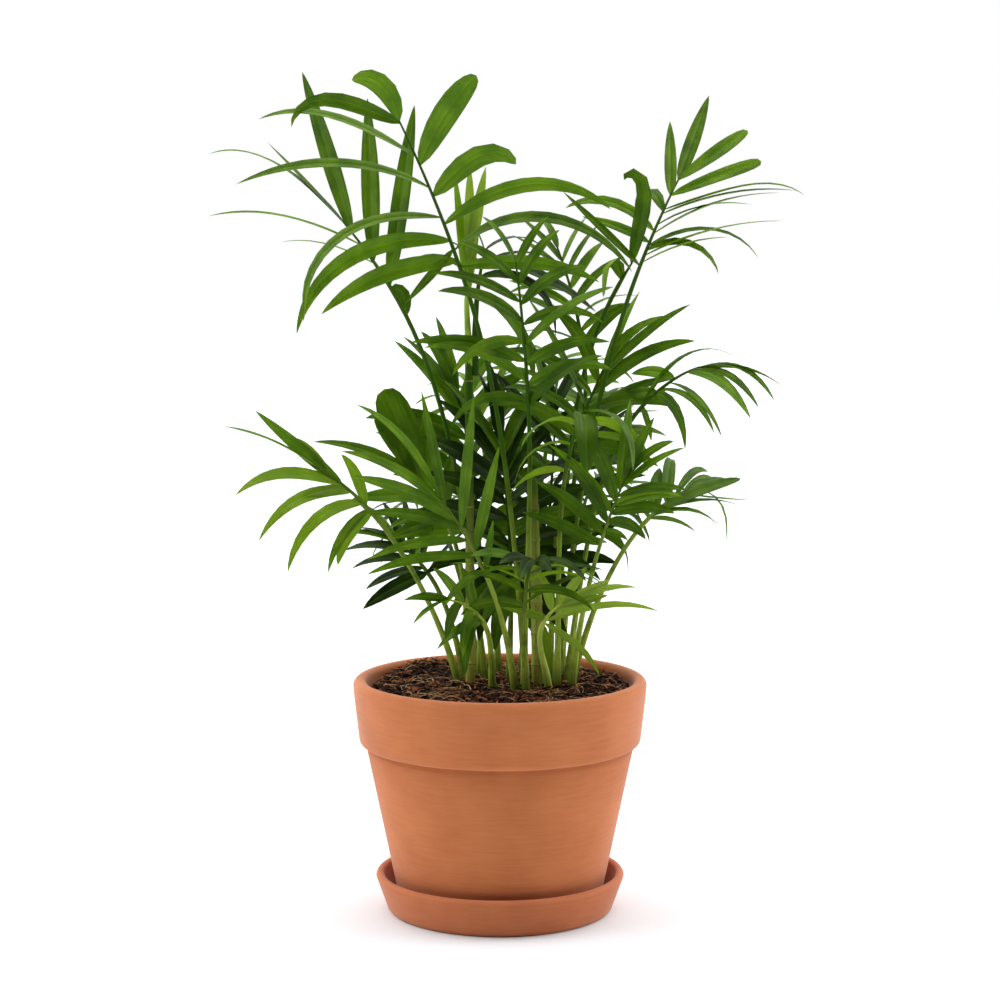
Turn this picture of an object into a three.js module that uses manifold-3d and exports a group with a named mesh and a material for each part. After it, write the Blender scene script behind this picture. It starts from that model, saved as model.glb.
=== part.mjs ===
// A parlour palm growing in a clay pot that stands on its saucer.
// Millimetres, +Z up, +X to the right seen from the front (-Y). The origin is the centre of the saucer's
// flat underside. Each stem with its leaflets is one solid, and no two solids touch.
import * as THREE from "three";
import { mergeVertices } from "three/addons/utils/BufferGeometryUtils.js";
import Module from "manifold-3d";

const wasm = await Module();
wasm.setup();

// ---------------------------------------------------------------- driving dimensions
const CLEARANCE = 0.3; // between two solids that meet
const ROUND_SEGMENTS = 36; // facets round the pot and the saucer

const SAUCER = {
  footRadius: 59,
  baseRadius: 62.3,
  lipRadius: 68,
  height: 21,
  floor: 6,
  insideRadius: 60.3, // of the inner wall's foot
  cove: 3, // where the inner wall meets the floor
  lipThickness: 4.6,
};

const POT = {
  rimRadius: 80,
  top: 128,
  collarFoot: 96, // where the collar ends above its shoulder
  collarFootRadius: 76.9,
  shoulder: 91.7,
  collarBevel: 1,
  bodyRadius: 73, // just under the shoulder
  baseRadius: 55.9,
  baseRounding: 2,
  wall: 7.4,
  floor: 8,
  cove: 6, // where the inner wall meets the floor
  coveFlare: 1.5,
  drainRadius: 9,
};
const POT_FOOT = SAUCER.floor + CLEARANCE;

const COMPOST = { level: 125, flatRadius: 48, edgeLevel: 121.5 };
const SOIL = COMPOST.level + CLEARANCE; // height of each stem's flat cut

const STEM = { sides: 3, petioleSteps: 6, rachisSteps: 3, foot: 1.9, neck: 1.3, tip: 0.8, upright: 0.45 };
const LEAFLET = {
  stations: [0, 0.3, 0.66, 1],
  rise: 0.56, // how its width grows from its root, and falls to its tip
  fall: 0.82,
  blunting: 0.5,
  rootWidth: 0.1,
  thinnest: 1.0,
  thickness: 1 / 90, // of its length, at the keel
  shortWidth: 0.4, // width share of the shortest leaflets of a half
  fullWidthAt: 1.2, // how many times the longest one's length would add a whole width
  hanging: 0.05, // radians from straight down at which it bends no further
  rootOverlap: 1, // mm3 that two leaflets of one stem may share at their roots
};
// How far a leaflet may stray from its row: angles in degrees, the others as shares.
const STRAY = { open: 6, lift: 8, length: 0.08, width: 0.12, droop: 0.25, twist: 18, roll: 14 };
const TURNS = [0, 10, -10, 20, -20, 32, -32, 45, -45]; // degrees a leaflet may turn to stay clear

const CANES = [
  { name: "cane_tall", foot: [-16, -6], top: [-17, 8, 305], footRadius: 2.7, topRadius: 2.0 },
  { name: "cane_thick", foot: [21, -9], top: [18, -3, 236], footRadius: 3.6, topRadius: 2.3 },
];
const CANE_SIDES = 8;
const CANE_STEPS = 6;

// One half of a frond's blade: n leaflets along `span` of its rachis. Each of its other sizes is a row of
// values, evenly spaced from the half's foot to its tip: the leaflets' place along the rachis, from 0 to 1,
// their opening angle from it, length and droop, how far they are rolled to look up, their width as a share
// of the frond's, how blunt their tips are, from 0 to 1, and how late along their length they droop.
const half = (n, span, open, size, droop, roll = [0], wide = [1], blunt = [0], late = [1.7]) => ({
  n, span, open, size, droop, roll, wide, blunt, late,
});

// Each frond: foot on the compost, neck where its blade begins, tip of its rachis; `face` is the bearing
// that the upper side looks to and `tilt` its lift; width of a leaflet; lift of the two halves; seed.
const FRONDS = [
  {
    name: "frond_top_left", foot: [14, 2], neck: [-18, -22, 341], tip: [-52, -42, 426],
    face: -92, tilt: 0.2, width: 13, lift: 10, loose: 0.2, seed: 3,
    right: half(
      5, [0.12, 0.21, 0.37, 0.54, 0.73], [100, 64, 70, 63, 46], [76, 110, 98, 56, 58], [36, 105, 80, 110, 25],
      [0, 62, 0, 0, 0], [0.63, 0.6, 0.6, 1.1, 1.25], [0, 0, 0.2, 0.6, 0.8], [1.7, 1, 1.4, 3, 1.3],
    ),
    left: half(
      8, [0.15, 0.22, 0.27, 0.41, 0.59, 0.78, 0.985, 1], [70, 118, 62, 62, 40, 35, 40, -13],
      [80, 38, 105, 106, 106, 89, 67, 40], [42, 0, 88, 108, 52, 52, 115, 95], [0, 0, 0, 60, 60, 60, 0, 0],
      [0.75, 0.53, 0.72, 0.62, 0.6, 0.6, 0.68, 1.15], [0, 0, 0, 0, 0, 0, 0, 0.5],
      [1.2, 1, 1.4, 1.6, 1, 2.2, 3.4, 1.5],
    ),
  },
  {
    name: "frond_upper_left", foot: [-8, 10], neck: [-60, 30, 339], tip: [-87, 50, 375],
    face: -86, tilt: 0.2, width: 10.5, lift: 8, loose: 0.2, seed: 18,
    right: half(
      4, [0, 0.03, 0.38, 0.82], [95, 38, 30, 19], [20, 107, 98, 107], [150, 2, 2, 2], [0], [1.3, 1, 1, 0.95],
      [0.5, 0.1, 0.1, 0.1], [0.6, 1, 1, 1],
    ),
    left: half(
      4, [0.35, 0.63, 0.97, 1], [28, 26, 3, 3], [57, 93, 112, 72], [35, 36, 55, 2], [60, 70, 50, 55],
      [0.62, 0.66, 0.75, 0.6], [0], [1.7, 1.5, 2, 1],
    ),
  },
  {
    name: "frond_top_right", foot: [32, 14], neck: [71, 12, 338], tip: [99, 46, 399],
    face: -98, tilt: 0.2, width: 9, lift: 10, loose: 0.2, seed: 7,
    right: half(
      10, [0.23, 0.29, 0.33, 0.37, 0.48, 0.56, 0.66, 0.7, 0.83, 0.985],
      [43, 46, 39, 40, 37, 37, 48, 50, 44, 26], [50, 78, 50, 70, 76, 56, 77, 82, 55, 51],
      [28, 27, 110, 90, 32, 40, 28, 60, 5, 0], [65, 65, 0, 30, 50, 50, 45, 65, 0, 0],
      [0.6, 0.6, 0.6, 0.6, 0.65, 0.65, 0.65, 0.6, 1.05, 1.1], [0, 0, 0, 0, 0, 0, 0, 0, 1, 0.9],
      [1.2, 1.2, 1.2, 1.5, 1.2, 1.2, 1.3, 3.5, 1, 1],
    ),
    left: half(
      6, [0.2, 0.4, 0.5, 0.68, 0.83, 0.985], [64, 82, 64, 38, 22, 5], [59, 40, 57, 38, 48, 62],
      [2, 20, 75, 165, 0, 0], [0], [0.5, 0.7, 0.75, 1, 0.8, 0.95], [0, 0, 0.2, 0.6, 0, 0],
      [1, 1, 1.4, 1.6, 1, 1],
    ),
  },
  {
    name: "frond_upper_right", foot: [31, 20], neck: [65, 24, 341], tip: [72, 20, 353],
    face: -100, tilt: 0.2, width: 11, lift: 12, loose: 0.2, seed: 9,
    right: half(1, [0.95], [-21], [60], [-190], [0], [0.9], [0.4], [6]),
    left: half(1, [0.2], [36], [38], [400], [0], [0.8], [0.4], [1.8]),
  },
  {
    name: "frond_mid_right", foot: [36, -4], neck: [76, 0, 275], tip: [104, -40, 299],
    face: -98, tilt: 0.5, width: 7, lift: 12, loose: 0.2, seed: 11,
    right: half(
      7, [0.02, 0.25, 0.35, 0.5, 0.8, 0.9, 0.985], [78, 30, 28, 32, 16, 12, 4], [21, 46, 60, 66, 72, 70, 74],
      [45, 95, 60, 45, 48, 48, 58], [0, 0, 45, 60, 0, 30, 35], [1.1, 1, 0.6, 0.5, 0.85, 0.65, 0.65],
      [0, 0, 0, 0, 0.1, 0, 0], [1, 1.1, 1.5, 1.3, 1.2, 1.3, 1.6],
    ),
    left: half(
      4, [0, 0.3, 0.6, 0.985], [14, 150, 140, -6], [92, 36, 40, 76], [78, 20, 30, 34], [65, 20, 10, 65],
      [0.55, 1.2, 1.2, 0.55], [0], [1.3, 1, 1, 1.6],
    ),
  },
  {
    name: "frond_low_right", foot: [40, 8], neck: [81, 8, 214], tip: [106, 30, 229],
    face: -98, tilt: 0.5, width: 7.5, lift: 8, loose: 0.2, seed: 13,
    right: half(
      7, [0, 0.05, 0.12, 0.2, 0.75, 0.9, 0.985], [44, 24, 18, 14, 50, 4, 30], [28, 43, 54, 56, 40, 36, 46],
      [50, 70, 44, 14, -10, 38, 120], [10, 20, 30, 0, 30, 10, 30], [0.7, 0.75, 0.75, 1.05, 0.55, 0.95, 0.5],
      [0, 0, 0, 0.6, 0, 0.2, 0], [1.2, 1.4, 1.2, 1.2, 1, 3, 1.2],
    ),
    left: half(
      5, [0, 0.1, 0.4, 0.6, 0.8], [60, 36, 38, 22, 14], [32, 34, 42, 48, 36], [40, 20, 110, 60, 50],
      [20, 0, 0, 30, 40], [0.9, 1.15, 1.05, 0.65, 0.5], [0, 0.2, 0.2, 0, 0], [1.2, 1, 4, 1.4, 1.3],
    ),
  },
  {
    name: "frond_low_left", foot: [-23, 2], neck: [-69, -8, 219], tip: [-98, -46, 248],
    face: -85, tilt: 0.4, width: 8, lift: 6, loose: 0.2, seed: 15,
    right: half(3, [0.1, 0.5, 0.7], [26, 2, 20], [40, 80, 36], [40, 0, 20], [20, 20, 50], [0.95, 0.85, 0.65]),
    left: half(
      7, [0, 0.05, 0.15, 0.35, 0.42, 0.5, 0.8], [62, 64, 34, 25, 30, 15, -6], [38, 44, 69, 75, 32, 84, 86],
      [70, 60, 82, 66, 12, 50, 20], [0, 10, 20, 20, 10, 20, 45], [1.5, 0.85, 0.85, 0.85, 1, 0.85, 0.65],
      [0.1, 0, 0, 0, 0, 0, 0], [1.1, 1.1, 1.2, 1.5, 1, 2, 1.2],
    ),
  },
  {
    name: "frond_front_left", foot: [8, -24], neck: [-7, -42, 189], tip: [-31, -60, 232],
    face: -90, tilt: 0.2, width: 7.5, lift: 5, loose: 0.2, seed: 17,
    right: half(
      4, [0.05, 0.3, 0.6, 0.9], [30, 37, 34, 23], [30, 60, 74, 66], [0, 2, 2, 3], [30, 20, 25, 30],
      [0.8, 0.8, 0.8, 0.75],
    ),
    left: half(
      7, [0.08, 0.25, 0.45, 0.6, 0.7, 0.85, 0.985], [84, 53, 54, 33, 17, 8, -12],
      [30, 62, 57, 55, 68, 72, 76], [45, 30, 28, 25, 27, 34, 40], [10, 30, 35, 25, 20, 30, 35],
      [0.8, 0.75, 0.75, 0.9, 0.95, 0.8, 0.75], [0], [1, 1.2, 1.4, 1.2, 1.2, 1.4, 1.6],
    ),
  },
  {
    name: "frond_pale", foot: [26, -20], neck: [23, -24, 161], tip: [33, -30, 173],
    face: -80, tilt: 0.2, width: 5.5, lift: 5, loose: 0.3, seed: 19,
    right: half(
      7, [0, 0.05, 0.1, 0.5, 0.6, 0.8, 0.95], [150, 92, 36, 14, 26, 20, 6], [26, 42, 66, 54, 28, 30, 32],
      [0, 40, 42, 42, 5, 5, 5], [0], [1.5, 0.9, 0.8, 0.85, 1, 1, 1], [0.4, 0, 0, 0, 0.3, 0.3, 0.3],
    ),
    left: half(3, [0.2, 0.9], [96, 50, 20], [26, 24, 30], [15, 5]),
  },
  {
    name: "frond_centre", foot: [13, -13], neck: [15, -28, 278], tip: [8, -60, 354],
    face: -90, tilt: 0.3, width: 7.5, lift: 12, loose: 1.4, seed: 163,
    right: half(
      8, [0, 0.97], [38, 66, 42, 60, 30, 18], [58, 50, 66, 48, 50, 36], [50, 80, 30, 70, 40, 30],
      [30, 0, 45, 10, 40, 0], [0.9, 0.8, 1, 0.75, 0.9, 0.8], [0], [1.3],
    ),
    left: half(
      8, [0.03, 0.985], [62, 40, 66, 36, 40, 12], [50, 64, 52, 60, 48, 38], [70, 30, 80, 40, 50, 30],
      [10, 40, 0, 35, 20, 40], [0.85, 1, 0.8, 0.95, 0.8, 0.8], [0], [1.3],
    ),
  },
  {
    name: "frond_behind_centre", foot: [20, 38], neck: [46, 42, 306], tip: [32, 66, 362],
    face: -90, tilt: 0.35, width: 6, lift: 8, loose: 1.3, seed: 170,
    right: half(
      8, [0, 0.97], [34, 60, 30, 46, 10], [42, 38, 46, 36, 28], [30, 40, 50, 20, 30], [10, 45, 20, 40, 0],
      [0.95, 0.85, 0.9, 0.8, 0.8], [0], [1.3],
    ),
    left: half(
      7, [0.04, 0.985], [56, 30, 50, 24, 6], [36, 46, 38, 40, 30], [40, 10, 60, 20, 20], [45, 10, 40, 10, 30],
      [0.85, 0.95, 0.85, 0.9, 0.8], [0], [1.3],
    ),
  },
  {
    name: "frond_cane_side", foot: [-13.8, 8.7], footLevel: 300, neck: [-12, 11, 338], tip: [-8, 24, 360],
    face: -70, tilt: 0.35, width: 12, lift: 8, loose: 0.3, seed: 177,
    right: half(
      5, [0, 0.3, 0.6, 0.8, 0.985], [110, 60, 45, 84, 30], [62, 66, 60, 70, 46], [60, 110, 70, 30, 60],
      [10, 20, 50, 20, 45], [0.65, 0.62, 0.55, 0.8, 0.5], [0], [1.1, 1.2, 1.3, 1, 1.3],
    ),
    left: half(
      3, [0.2, 0.6, 0.95], [60, 62, 30], [36, 40, 34], [50, 90, 60], [30, 50, 50], [0.5, 0.45, 0.45],
    ),
  },
  {
    name: "frond_spear", foot: [-17, 8], footLevel: 305 + CLEARANCE, neck: [-18, 9, 333], tip: [-17, 6, 357],
    face: -80, tilt: 0.35, width: 7, lift: 30, loose: 0.5, seed: 184,
    right: half(2, [0, 0.8], [9, 8, 7], [64, 62, 54], [0, 0, 0]),
    left: half(2, [0.2, 0.95], [9, 7, 5], [68, 60, 50], [0, 0, 0]),
  },
  {
    name: "frond_foot_left", foot: [-4, -18], neck: [-9, -30, 163], tip: [-27, -52, 178],
    face: -80, tilt: 0.6, width: 7, lift: 8, loose: 0.5, seed: 191,
    right: half(
      4, [0, 0.3, 0.6, 0.985], [60, 46, 30, 8], [34, 28, 30, 34], [60, 30, 20, 30], [20, 40, 30, 50],
      [0.9, 0.8, 0.8, 0.8],
    ),
    left: half(
      5, [0, 0.2, 0.4, 0.75, 0.985], [40, 70, 60, 40, 14], [42, 36, 30, 28, 34], [45, 70, 60, 40, 35],
      [0, 20, 30, 30, 50], [1, 0.9, 0.8, 0.8, 0.7], [0], [1, 1, 1, 1, 1.2],
    ),
  },
  {
    name: "frond_back_left", foot: [-20, 16], neck: [-40, 24, 182], tip: [-58, 36, 199],
    face: -95, tilt: 0.35, width: 7.5, lift: 10, loose: 0.6, seed: 198,
    right: half(5, [0, 0.9], [70, 44, 30, 16], [36, 42, 34, 36], [20, 30, 20, 30], [50, 20, 40, 30], [0.9]),
    left: half(
      6, [0, 0.15, 0.4, 0.8, 0.985], [75, 50, 28, 14, 4], [40, 36, 42, 38, 34], [25, 40, 45, 35, 30],
      [0, 30, 10, 20, 50], [1.1, 0.8, 1, 0.85, 0.7], [0], [1.2],
    ),
  },
  {
    name: "frond_broad_left", foot: [-17, 11], neck: [-30, 14, 213], tip: [-44, 16, 235],
    face: -85, tilt: 0.35, width: 14, lift: 10, loose: 0.2, seed: 205,
    right: half(
      3, [0.1, 0.6, 0.985], [36, 30, 18], [40, 48, 53], [5, 10, 5], [20, 10, 0], [0.6, 0.6, 1.4],
      [0, 0.2, 0.9], [1],
    ),
    left: half(
      4, [0, 0.5, 0.85, 0.985], [70, 52, 15, -4], [34, 46, 66, 42], [25, 20, 40, 3], [20, 20, 10, 0],
      [0.6, 0.65, 0.5, 0.75], [0, 0, 0, 0.5], [1.2],
    ),
  },
  {
    name: "frond_inner_right", foot: [27, 0], neck: [39, 8, 250], tip: [57, 14, 297],
    face: -90, tilt: 0.35, width: 8.5, lift: 10, loose: 1.4, seed: 212,
    right: half(
      7, [0, 0.985], [60, 30, 54, 20, 8], [52, 66, 60, 70, 48], [50, 20, 70, 20, 40], [0, 30, 10, 35, 20],
      [0.85, 0.8, 0.9, 0.8, 0.75], [0], [1.2, 1.8, 1.2],
    ),
    left: half(
      7, [0.03, 0.97], [50, 76, 40, 60, 8], [56, 52, 66, 48, 46], [30, 80, 20, 70, 20], [20, 0, 40, 10, 40],
      [0.8, 0.9, 0.75, 0.9, 0.7], [0], [1.3],
    ),
  },
  {
    name: "frond_bent", foot: [31, -12], neck: [35, -24, 243], tip: [42, -62, 276],
    face: -90, tilt: 3, width: 11.5, lift: 10, loose: 0.3, seed: 219,
    right: half(
      4, [0, 0.4, 0.75, 0.95], [75, 64, 50, 4], [36, 44, 46, 44], [70, 90, 80, 150], [10, 20, 10, 5],
      [0.65, 0.65, 0.7, 1.1], [0, 0, 0, 0.3], [1.1, 1.1, 1.2, 0.8],
    ),
    left: half(
      4, [0, 0.45, 0.8, 0.985], [70, 74, 95, 40], [34, 44, 54, 52], [70, 80, 95, 130], [20, 10, 0, 0],
      [0.65, 0.7, 0.75, 0.95], [0, 0, 0.1, 0.2], [1.1, 1.1, 1.2, 0.9],
    ),
  },
  {
    name: "frond_front_right", foot: [39, -12], neck: [50, -17, 190], tip: [66, -34, 240],
    face: -100, tilt: 0.35, width: 8.5, lift: 12, loose: 1.2, seed: 226,
    right: half(
      7, [0.4, 0.985], [56, 50, 30, 44, 24, 6], [17, 30, 46, 42, 50, 46], [70, 50, 20, 50, 20, 30],
      [20, 0, 30, 40, 20, 45], [0.7, 0.8, 0.9, 0.7, 0.9, 0.75], [0], [1.2],
    ),
    left: half(
      7, [0.25, 0.97], [70, 60, 40, 50, 20, 6], [44, 50, 46, 56, 52, 46], [20, 30, 20, 40, 10, 20],
      [0, 30, 0, 20, 40, 10], [0.85, 0.95, 0.85, 0.9, 0.95, 0.75], [0], [1.2],
    ),
  },
  {
    name: "frond_inner_left", foot: [-11, 22], neck: [-12, 31, 205], tip: [-24, 48, 282],
    face: -90, tilt: 0.35, width: 10, lift: 10, loose: 1.3, seed: 233,
    right: half(
      9, [0, 0.985], [60, 36, 56, 28, 48, 8], [48, 56, 50, 64, 48, 44], [50, 20, 50, 10, 60, 30],
      [0, 30, 10, 45, 0, 30], [0.8, 0.85, 0.95, 0.75, 0.9, 0.75], [0], [1.3],
    ),
    left: half(
      10, [0, 0.97], [80, 60, 34, 54, 22, 6], [48, 50, 64, 52, 58, 42], [30, 60, 10, 70, 20, 30],
      [30, 10, 40, 0, 40, 20], [0.8, 0.9, 0.75, 0.9, 0.8, 0.75], [0], [1.3],
    ),
  },
  {
    name: "frond_heart_front", foot: [5, 6], neck: [6, 6, 182], tip: [0, 12, 257],
    face: -90, tilt: 0.35, width: 11, lift: 10, loose: 1.3, seed: 240,
    right: half(
      14, [0, 0.25, 0.985], [150, 100, 64, 56, 30, 10], [42, 48, 54, 54, 60, 50], [20, 60, 40, 50, 30, 30],
      [0, 10, 20, 20, 30, 0], [0.85, 0.9, 0.8, 0.85, 0.7, 0.7], [0], [1.3],
    ),
    left: half(
      14, [0, 0.25, 0.985], [156, 110, 50, 60, 34, 8], [40, 46, 54, 50, 58, 48], [20, 60, 40, 50, 30, 30],
      [0, 20, 20, 20, 10, 40], [0.9, 0.85, 0.8, 0.85, 0.85, 0.7], [0], [1.3],
    ),
  },
  {
    name: "frond_heart_back", foot: [19, 14], neck: [25, 21, 186], tip: [31, 42, 271],
    face: -90, tilt: 0.35, width: 11, lift: 10, loose: 1.4, seed: 247,
    right: half(
      11, [0, 0.35, 0.985], [70, 44, 70, 34, 60, 10], [40, 48, 50, 62, 50, 48], [40, 20, 70, 20, 80, 30],
      [0, 20, 0, 40, 10, 30], [0.8, 0.8, 0.9, 0.7, 0.9, 0.7], [0], [1.3],
    ),
    left: half(
      11, [0, 0.35, 0.985], [76, 60, 36, 64, 30, 8], [40, 48, 58, 50, 60, 46], [60, 40, 20, 80, 20, 30],
      [20, 0, 40, 10, 30, 20], [0.8, 0.9, 0.7, 0.9, 0.75, 0.7], [0], [1.3],
    ),
  },
  {
    name: "frond_forward", foot: [14, -26], neck: [13, -38, 172], tip: [18, -92, 204],
    face: 90, tilt: 1.4, width: 9.5, lift: 10, loose: 1.2, seed: 254,
    right: half(
      7, [0, 0.985], [70, 50, 62, 30, 14], [36, 46, 40, 48, 42], [50, 30, 70, 40, 50], [0, 30, 10, 35, 20],
      [0.8, 0.7, 0.85, 0.7, 0.7], [0], [1.3],
    ),
    left: half(
      7, [0.04, 0.97], [58, 70, 44, 50, 12], [42, 38, 48, 44, 40], [30, 60, 30, 60, 40], [20, 0, 30, 10, 40],
      [0.75, 0.85, 0.7, 0.8, 0.7], [0], [1.3],
    ),
  },
  {
    name: "frond_back_right", foot: [34, 24], neck: [48, 42, 238], tip: [58, 66, 272],
    face: -100, tilt: 0.6, width: 8, lift: 10, loose: 1.5, seed: 261,
    right: half(
      6, [0, 0.985], [62, 40, 60, 30, 12], [34, 46, 38, 44, 34], [60, 30, 70, 20, 50], [0, 30, 10, 40, 10],
      [0.9, 0.8, 0.9, 0.75, 0.8], [0], [1.3],
    ),
    left: half(
      6, [0.04, 0.97], [58, 66, 36, 50, 10], [38, 34, 46, 36, 34], [40, 60, 20, 60, 30], [20, 0, 40, 10, 30],
      [0.85, 0.9, 0.75, 0.85, 0.8], [0], [1.3],
    ),
  },
  {
    name: "frond_rear_left", foot: [-1, 34], neck: [-8, 76, 236], tip: [-18, 140, 280],
    face: -90, tilt: 1.2, width: 8, lift: 10, loose: 1.4, seed: 268,
    right: half(
      8, [0, 0.985], [66, 50, 60, 34, 14], [44, 58, 48, 54, 40], [50, 80, 40, 70, 50], [0, 30, 10, 20, 0],
      [0.8, 0.9, 0.75, 0.85, 0.8], [0], [1.3, 1.7, 1.3],
    ),
    left: half(
      7, [0.03, 0.97], [60, 64, 46, 44, 12], [50, 46, 58, 46, 42], [70, 50, 90, 50, 40], [20, 0, 30, 10, 20],
      [0.85, 0.75, 0.9, 0.8, 0.8], [0], [1.5, 1.2, 1.5],
    ),
  },
  {
    name: "frond_rear_right", foot: [12, 38], neck: [29, 82, 262], tip: [38, 140, 300],
    face: -90, tilt: 1.2, width: 7.5, lift: 10, loose: 1.4, seed: 275,
    right: half(
      7, [0, 0.985], [62, 66, 44, 46, 12], [42, 40, 54, 42, 38], [60, 40, 80, 50, 60], [20, 0, 30, 10, 20],
      [0.85, 0.8, 0.9, 0.75, 0.8], [0], [1.3, 1.7, 1.3],
    ),
    left: half(
      8, [0.03, 0.97], [66, 48, 62, 30, 14], [40, 52, 42, 50, 38], [50, 80, 40, 70, 50], [0, 30, 10, 20, 0],
      [0.8, 0.9, 0.75, 0.85, 0.8], [0], [1.4],
    ),
  },
  {
    name: "frond_rear_low_right", foot: [33, 33], neck: [46, 72, 206], tip: [58, 130, 226],
    face: -90, tilt: 1.2, width: 8, lift: 10, loose: 1.3, seed: 282,
    right: half(
      7, [0, 0.985], [80, 60, 60, 30, 12], [44, 50, 42, 48, 36], [90, 80, 40, 70, 50], [0, 30, 10, 20, 0],
      [0.85, 0.8, 0.9, 0.75, 0.8], [0], [1, 1.5, 1.3],
    ),
    left: half(
      8, [0, 0.97], [76, 70, 46, 44, 12], [48, 44, 50, 40, 38], [100, 60, 80, 50, 40], [20, 0, 30, 10, 20],
      [0.85, 0.85, 0.75, 0.85, 0.8], [0], [1, 1.3],
    ),
  },
  {
    name: "frond_rear_low_left", foot: [-12, 32], neck: [-30, 70, 195], tip: [-48, 126, 212],
    face: -90, tilt: 1.2, width: 8, lift: 10, loose: 1.3, seed: 289,
    right: half(
      8, [0, 0.985], [76, 70, 44, 46, 12], [46, 46, 52, 42, 38], [100, 60, 80, 50, 60], [20, 0, 30, 10, 20],
      [0.85, 0.8, 0.9, 0.75, 0.8], [0], [1, 1.3],
    ),
    left: half(
      7, [0, 0.97], [80, 56, 62, 30, 14], [44, 50, 40, 48, 36], [90, 80, 40, 70, 40], [0, 30, 10, 20, 0],
      [0.8, 0.9, 0.75, 0.85, 0.8], [0], [1, 1.5, 1.3],
    ),
  },
];

// ---------------------------------------------------------------- materials
const standard = (color, roughness) => new THREE.MeshStandardMaterial({ color, roughness, metalness: 0 });
const CLAY = standard(0xb87149, 0.85);
const EARTH = standard(0x3c2617, 0.95);
const CANE_GREEN = standard(0x8f9b5c, 0.6);
const LEAF_GREEN = standard(0x3f7a1f, 0.5);

// ---------------------------------------------------------------- small helpers
const vector = (values) => new THREE.Vector3(...values);
const radians = THREE.MathUtils.degToRad;
const lerp = THREE.MathUtils.lerp;
const UP = vector([0, 0, 1]);
const DOWN = vector([0, 0, -1]);
const ACROSS = vector([1, 0, 0]);

// Seeded random numbers: spread(w) lies between -w and +w.
function seeded(seed) {
  let state = seed >>> 0;
  const next = () => {
    state = (state + 0x6d2b79f5) >>> 0;
    let t = Math.imul(state ^ (state >>> 15), state | 1);
    t ^= t + Math.imul(t ^ (t >>> 7), t | 61);
    return ((t ^ (t >>> 14)) >>> 0) / 4294967296;
  };
  return (w) => (2 * next() - 1) * w;
}

// The value at g on the line through values that are evenly spaced from 0 to 1.
function along(values, g) {
  const place = g * (values.length - 1);
  const before = Math.min(Math.floor(place), Math.max(values.length - 2, 0));
  return lerp(values[before], values.at(before + 1) ?? values[before], place - before);
}

// Points of a circular arc in an outline, angles in degrees.
const arc = (x, y, radius, from, to, steps) =>
  Array.from({ length: steps + 1 }, (_, i) => {
    const angle = radians(lerp(from, to, i / steps));
    return [x + radius * Math.cos(angle), y + radius * Math.sin(angle)];
  });

// A solid from a geometry, with only its positions kept and shared corners merged.
function solidOf(geometry) {
  const bare = new THREE.BufferGeometry().setAttribute("position", geometry.getAttribute("position"));
  if (geometry.index) bare.setIndex(geometry.index);
  const merged = mergeVertices(bare, 1e-4);
  return new wasm.Manifold(
    new wasm.Mesh({
      numProp: 3,
      vertProperties: new Float32Array(merged.attributes.position.array),
      triVerts: new Uint32Array(merged.index.array),
    }),
  );
}

// A named mesh from a solid.
function meshOf(name, solid, material) {
  const { vertProperties, triVerts } = solid.getMesh();
  const geometry = new THREE.BufferGeometry()
    .setAttribute("position", new THREE.BufferAttribute(vertProperties, 3))
    .setIndex(new THREE.BufferAttribute(triVerts, 1));
  geometry.computeVertexNormals();
  const mesh = new THREE.Mesh(geometry, material);
  mesh.name = name;
  return mesh;
}

// A turned body: the outline [radius, height] goes anticlockwise and is spun about Z.
function turned(name, outline, material) {
  const points = outline.map(([r, z]) => new THREE.Vector2(r, z));
  const geometry = new THREE.LatheGeometry(points, ROUND_SEGMENTS).rotateX(Math.PI / 2);
  return meshOf(name, solidOf(geometry), material);
}

// Rings of equal count, skinned and closed at both ends. A last ring of one point ends in that point.
function skinned(rings) {
  const corners = rings.flat();
  const sides = rings[0].length;
  const faces = [];
  for (let i = 1; i < sides - 1; i++) faces.push(0, i + 1, i);
  rings.slice(1).forEach((ring, k) => {
    const low = k * sides;
    const high = low + sides;
    for (let i = 0; i < sides; i++) {
      const j = (i + 1) % sides;
      if (ring.length === 1) faces.push(low + i, low + j, high);
      else faces.push(low + i, low + j, high + j, low + i, high + j, high + i);
    }
  });
  if (rings.at(-1).length > 1) {
    const last = corners.length - sides;
    for (let i = 1; i < sides - 1; i++) faces.push(last, last + i, last + i + 1);
  }
  const geometry = new THREE.BufferGeometry().setFromPoints(corners);
  geometry.setIndex(faces);
  return solidOf(geometry);
}

// ---------------------------------------------------------------- pot, saucer and compost
function saucer() {
  const { footRadius, baseRadius, lipRadius, height, floor, insideRadius, cove, lipThickness } = SAUCER;
  const lip = lipThickness / 2;
  const bend = baseRadius - footRadius;
  return turned(
    "saucer",
    [
      [0, 0],
      ...arc(footRadius, bend, bend, -90, -20, 3),
      ...arc(lipRadius - lip, height - lip, lip, 0, 180, 5),
      [insideRadius, floor + cove],
      [insideRadius - cove, floor],
      [0, floor],
    ],
    CLAY,
  );
}

// Radius of the pot's inner wall at the levels where it bends, from the floor up.
const POT_INSIDE = [
  [POT.baseRadius - POT.wall - POT.cove, POT_FOOT + POT.floor],
  [POT.baseRadius - POT.wall + POT.coveFlare, POT_FOOT + POT.floor + POT.cove],
  [POT.bodyRadius - POT.wall, POT.shoulder],
  [POT.collarFootRadius - POT.wall, POT.collarFoot],
  [POT.rimRadius - POT.wall, POT.top - POT.wall / 2],
];

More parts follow.
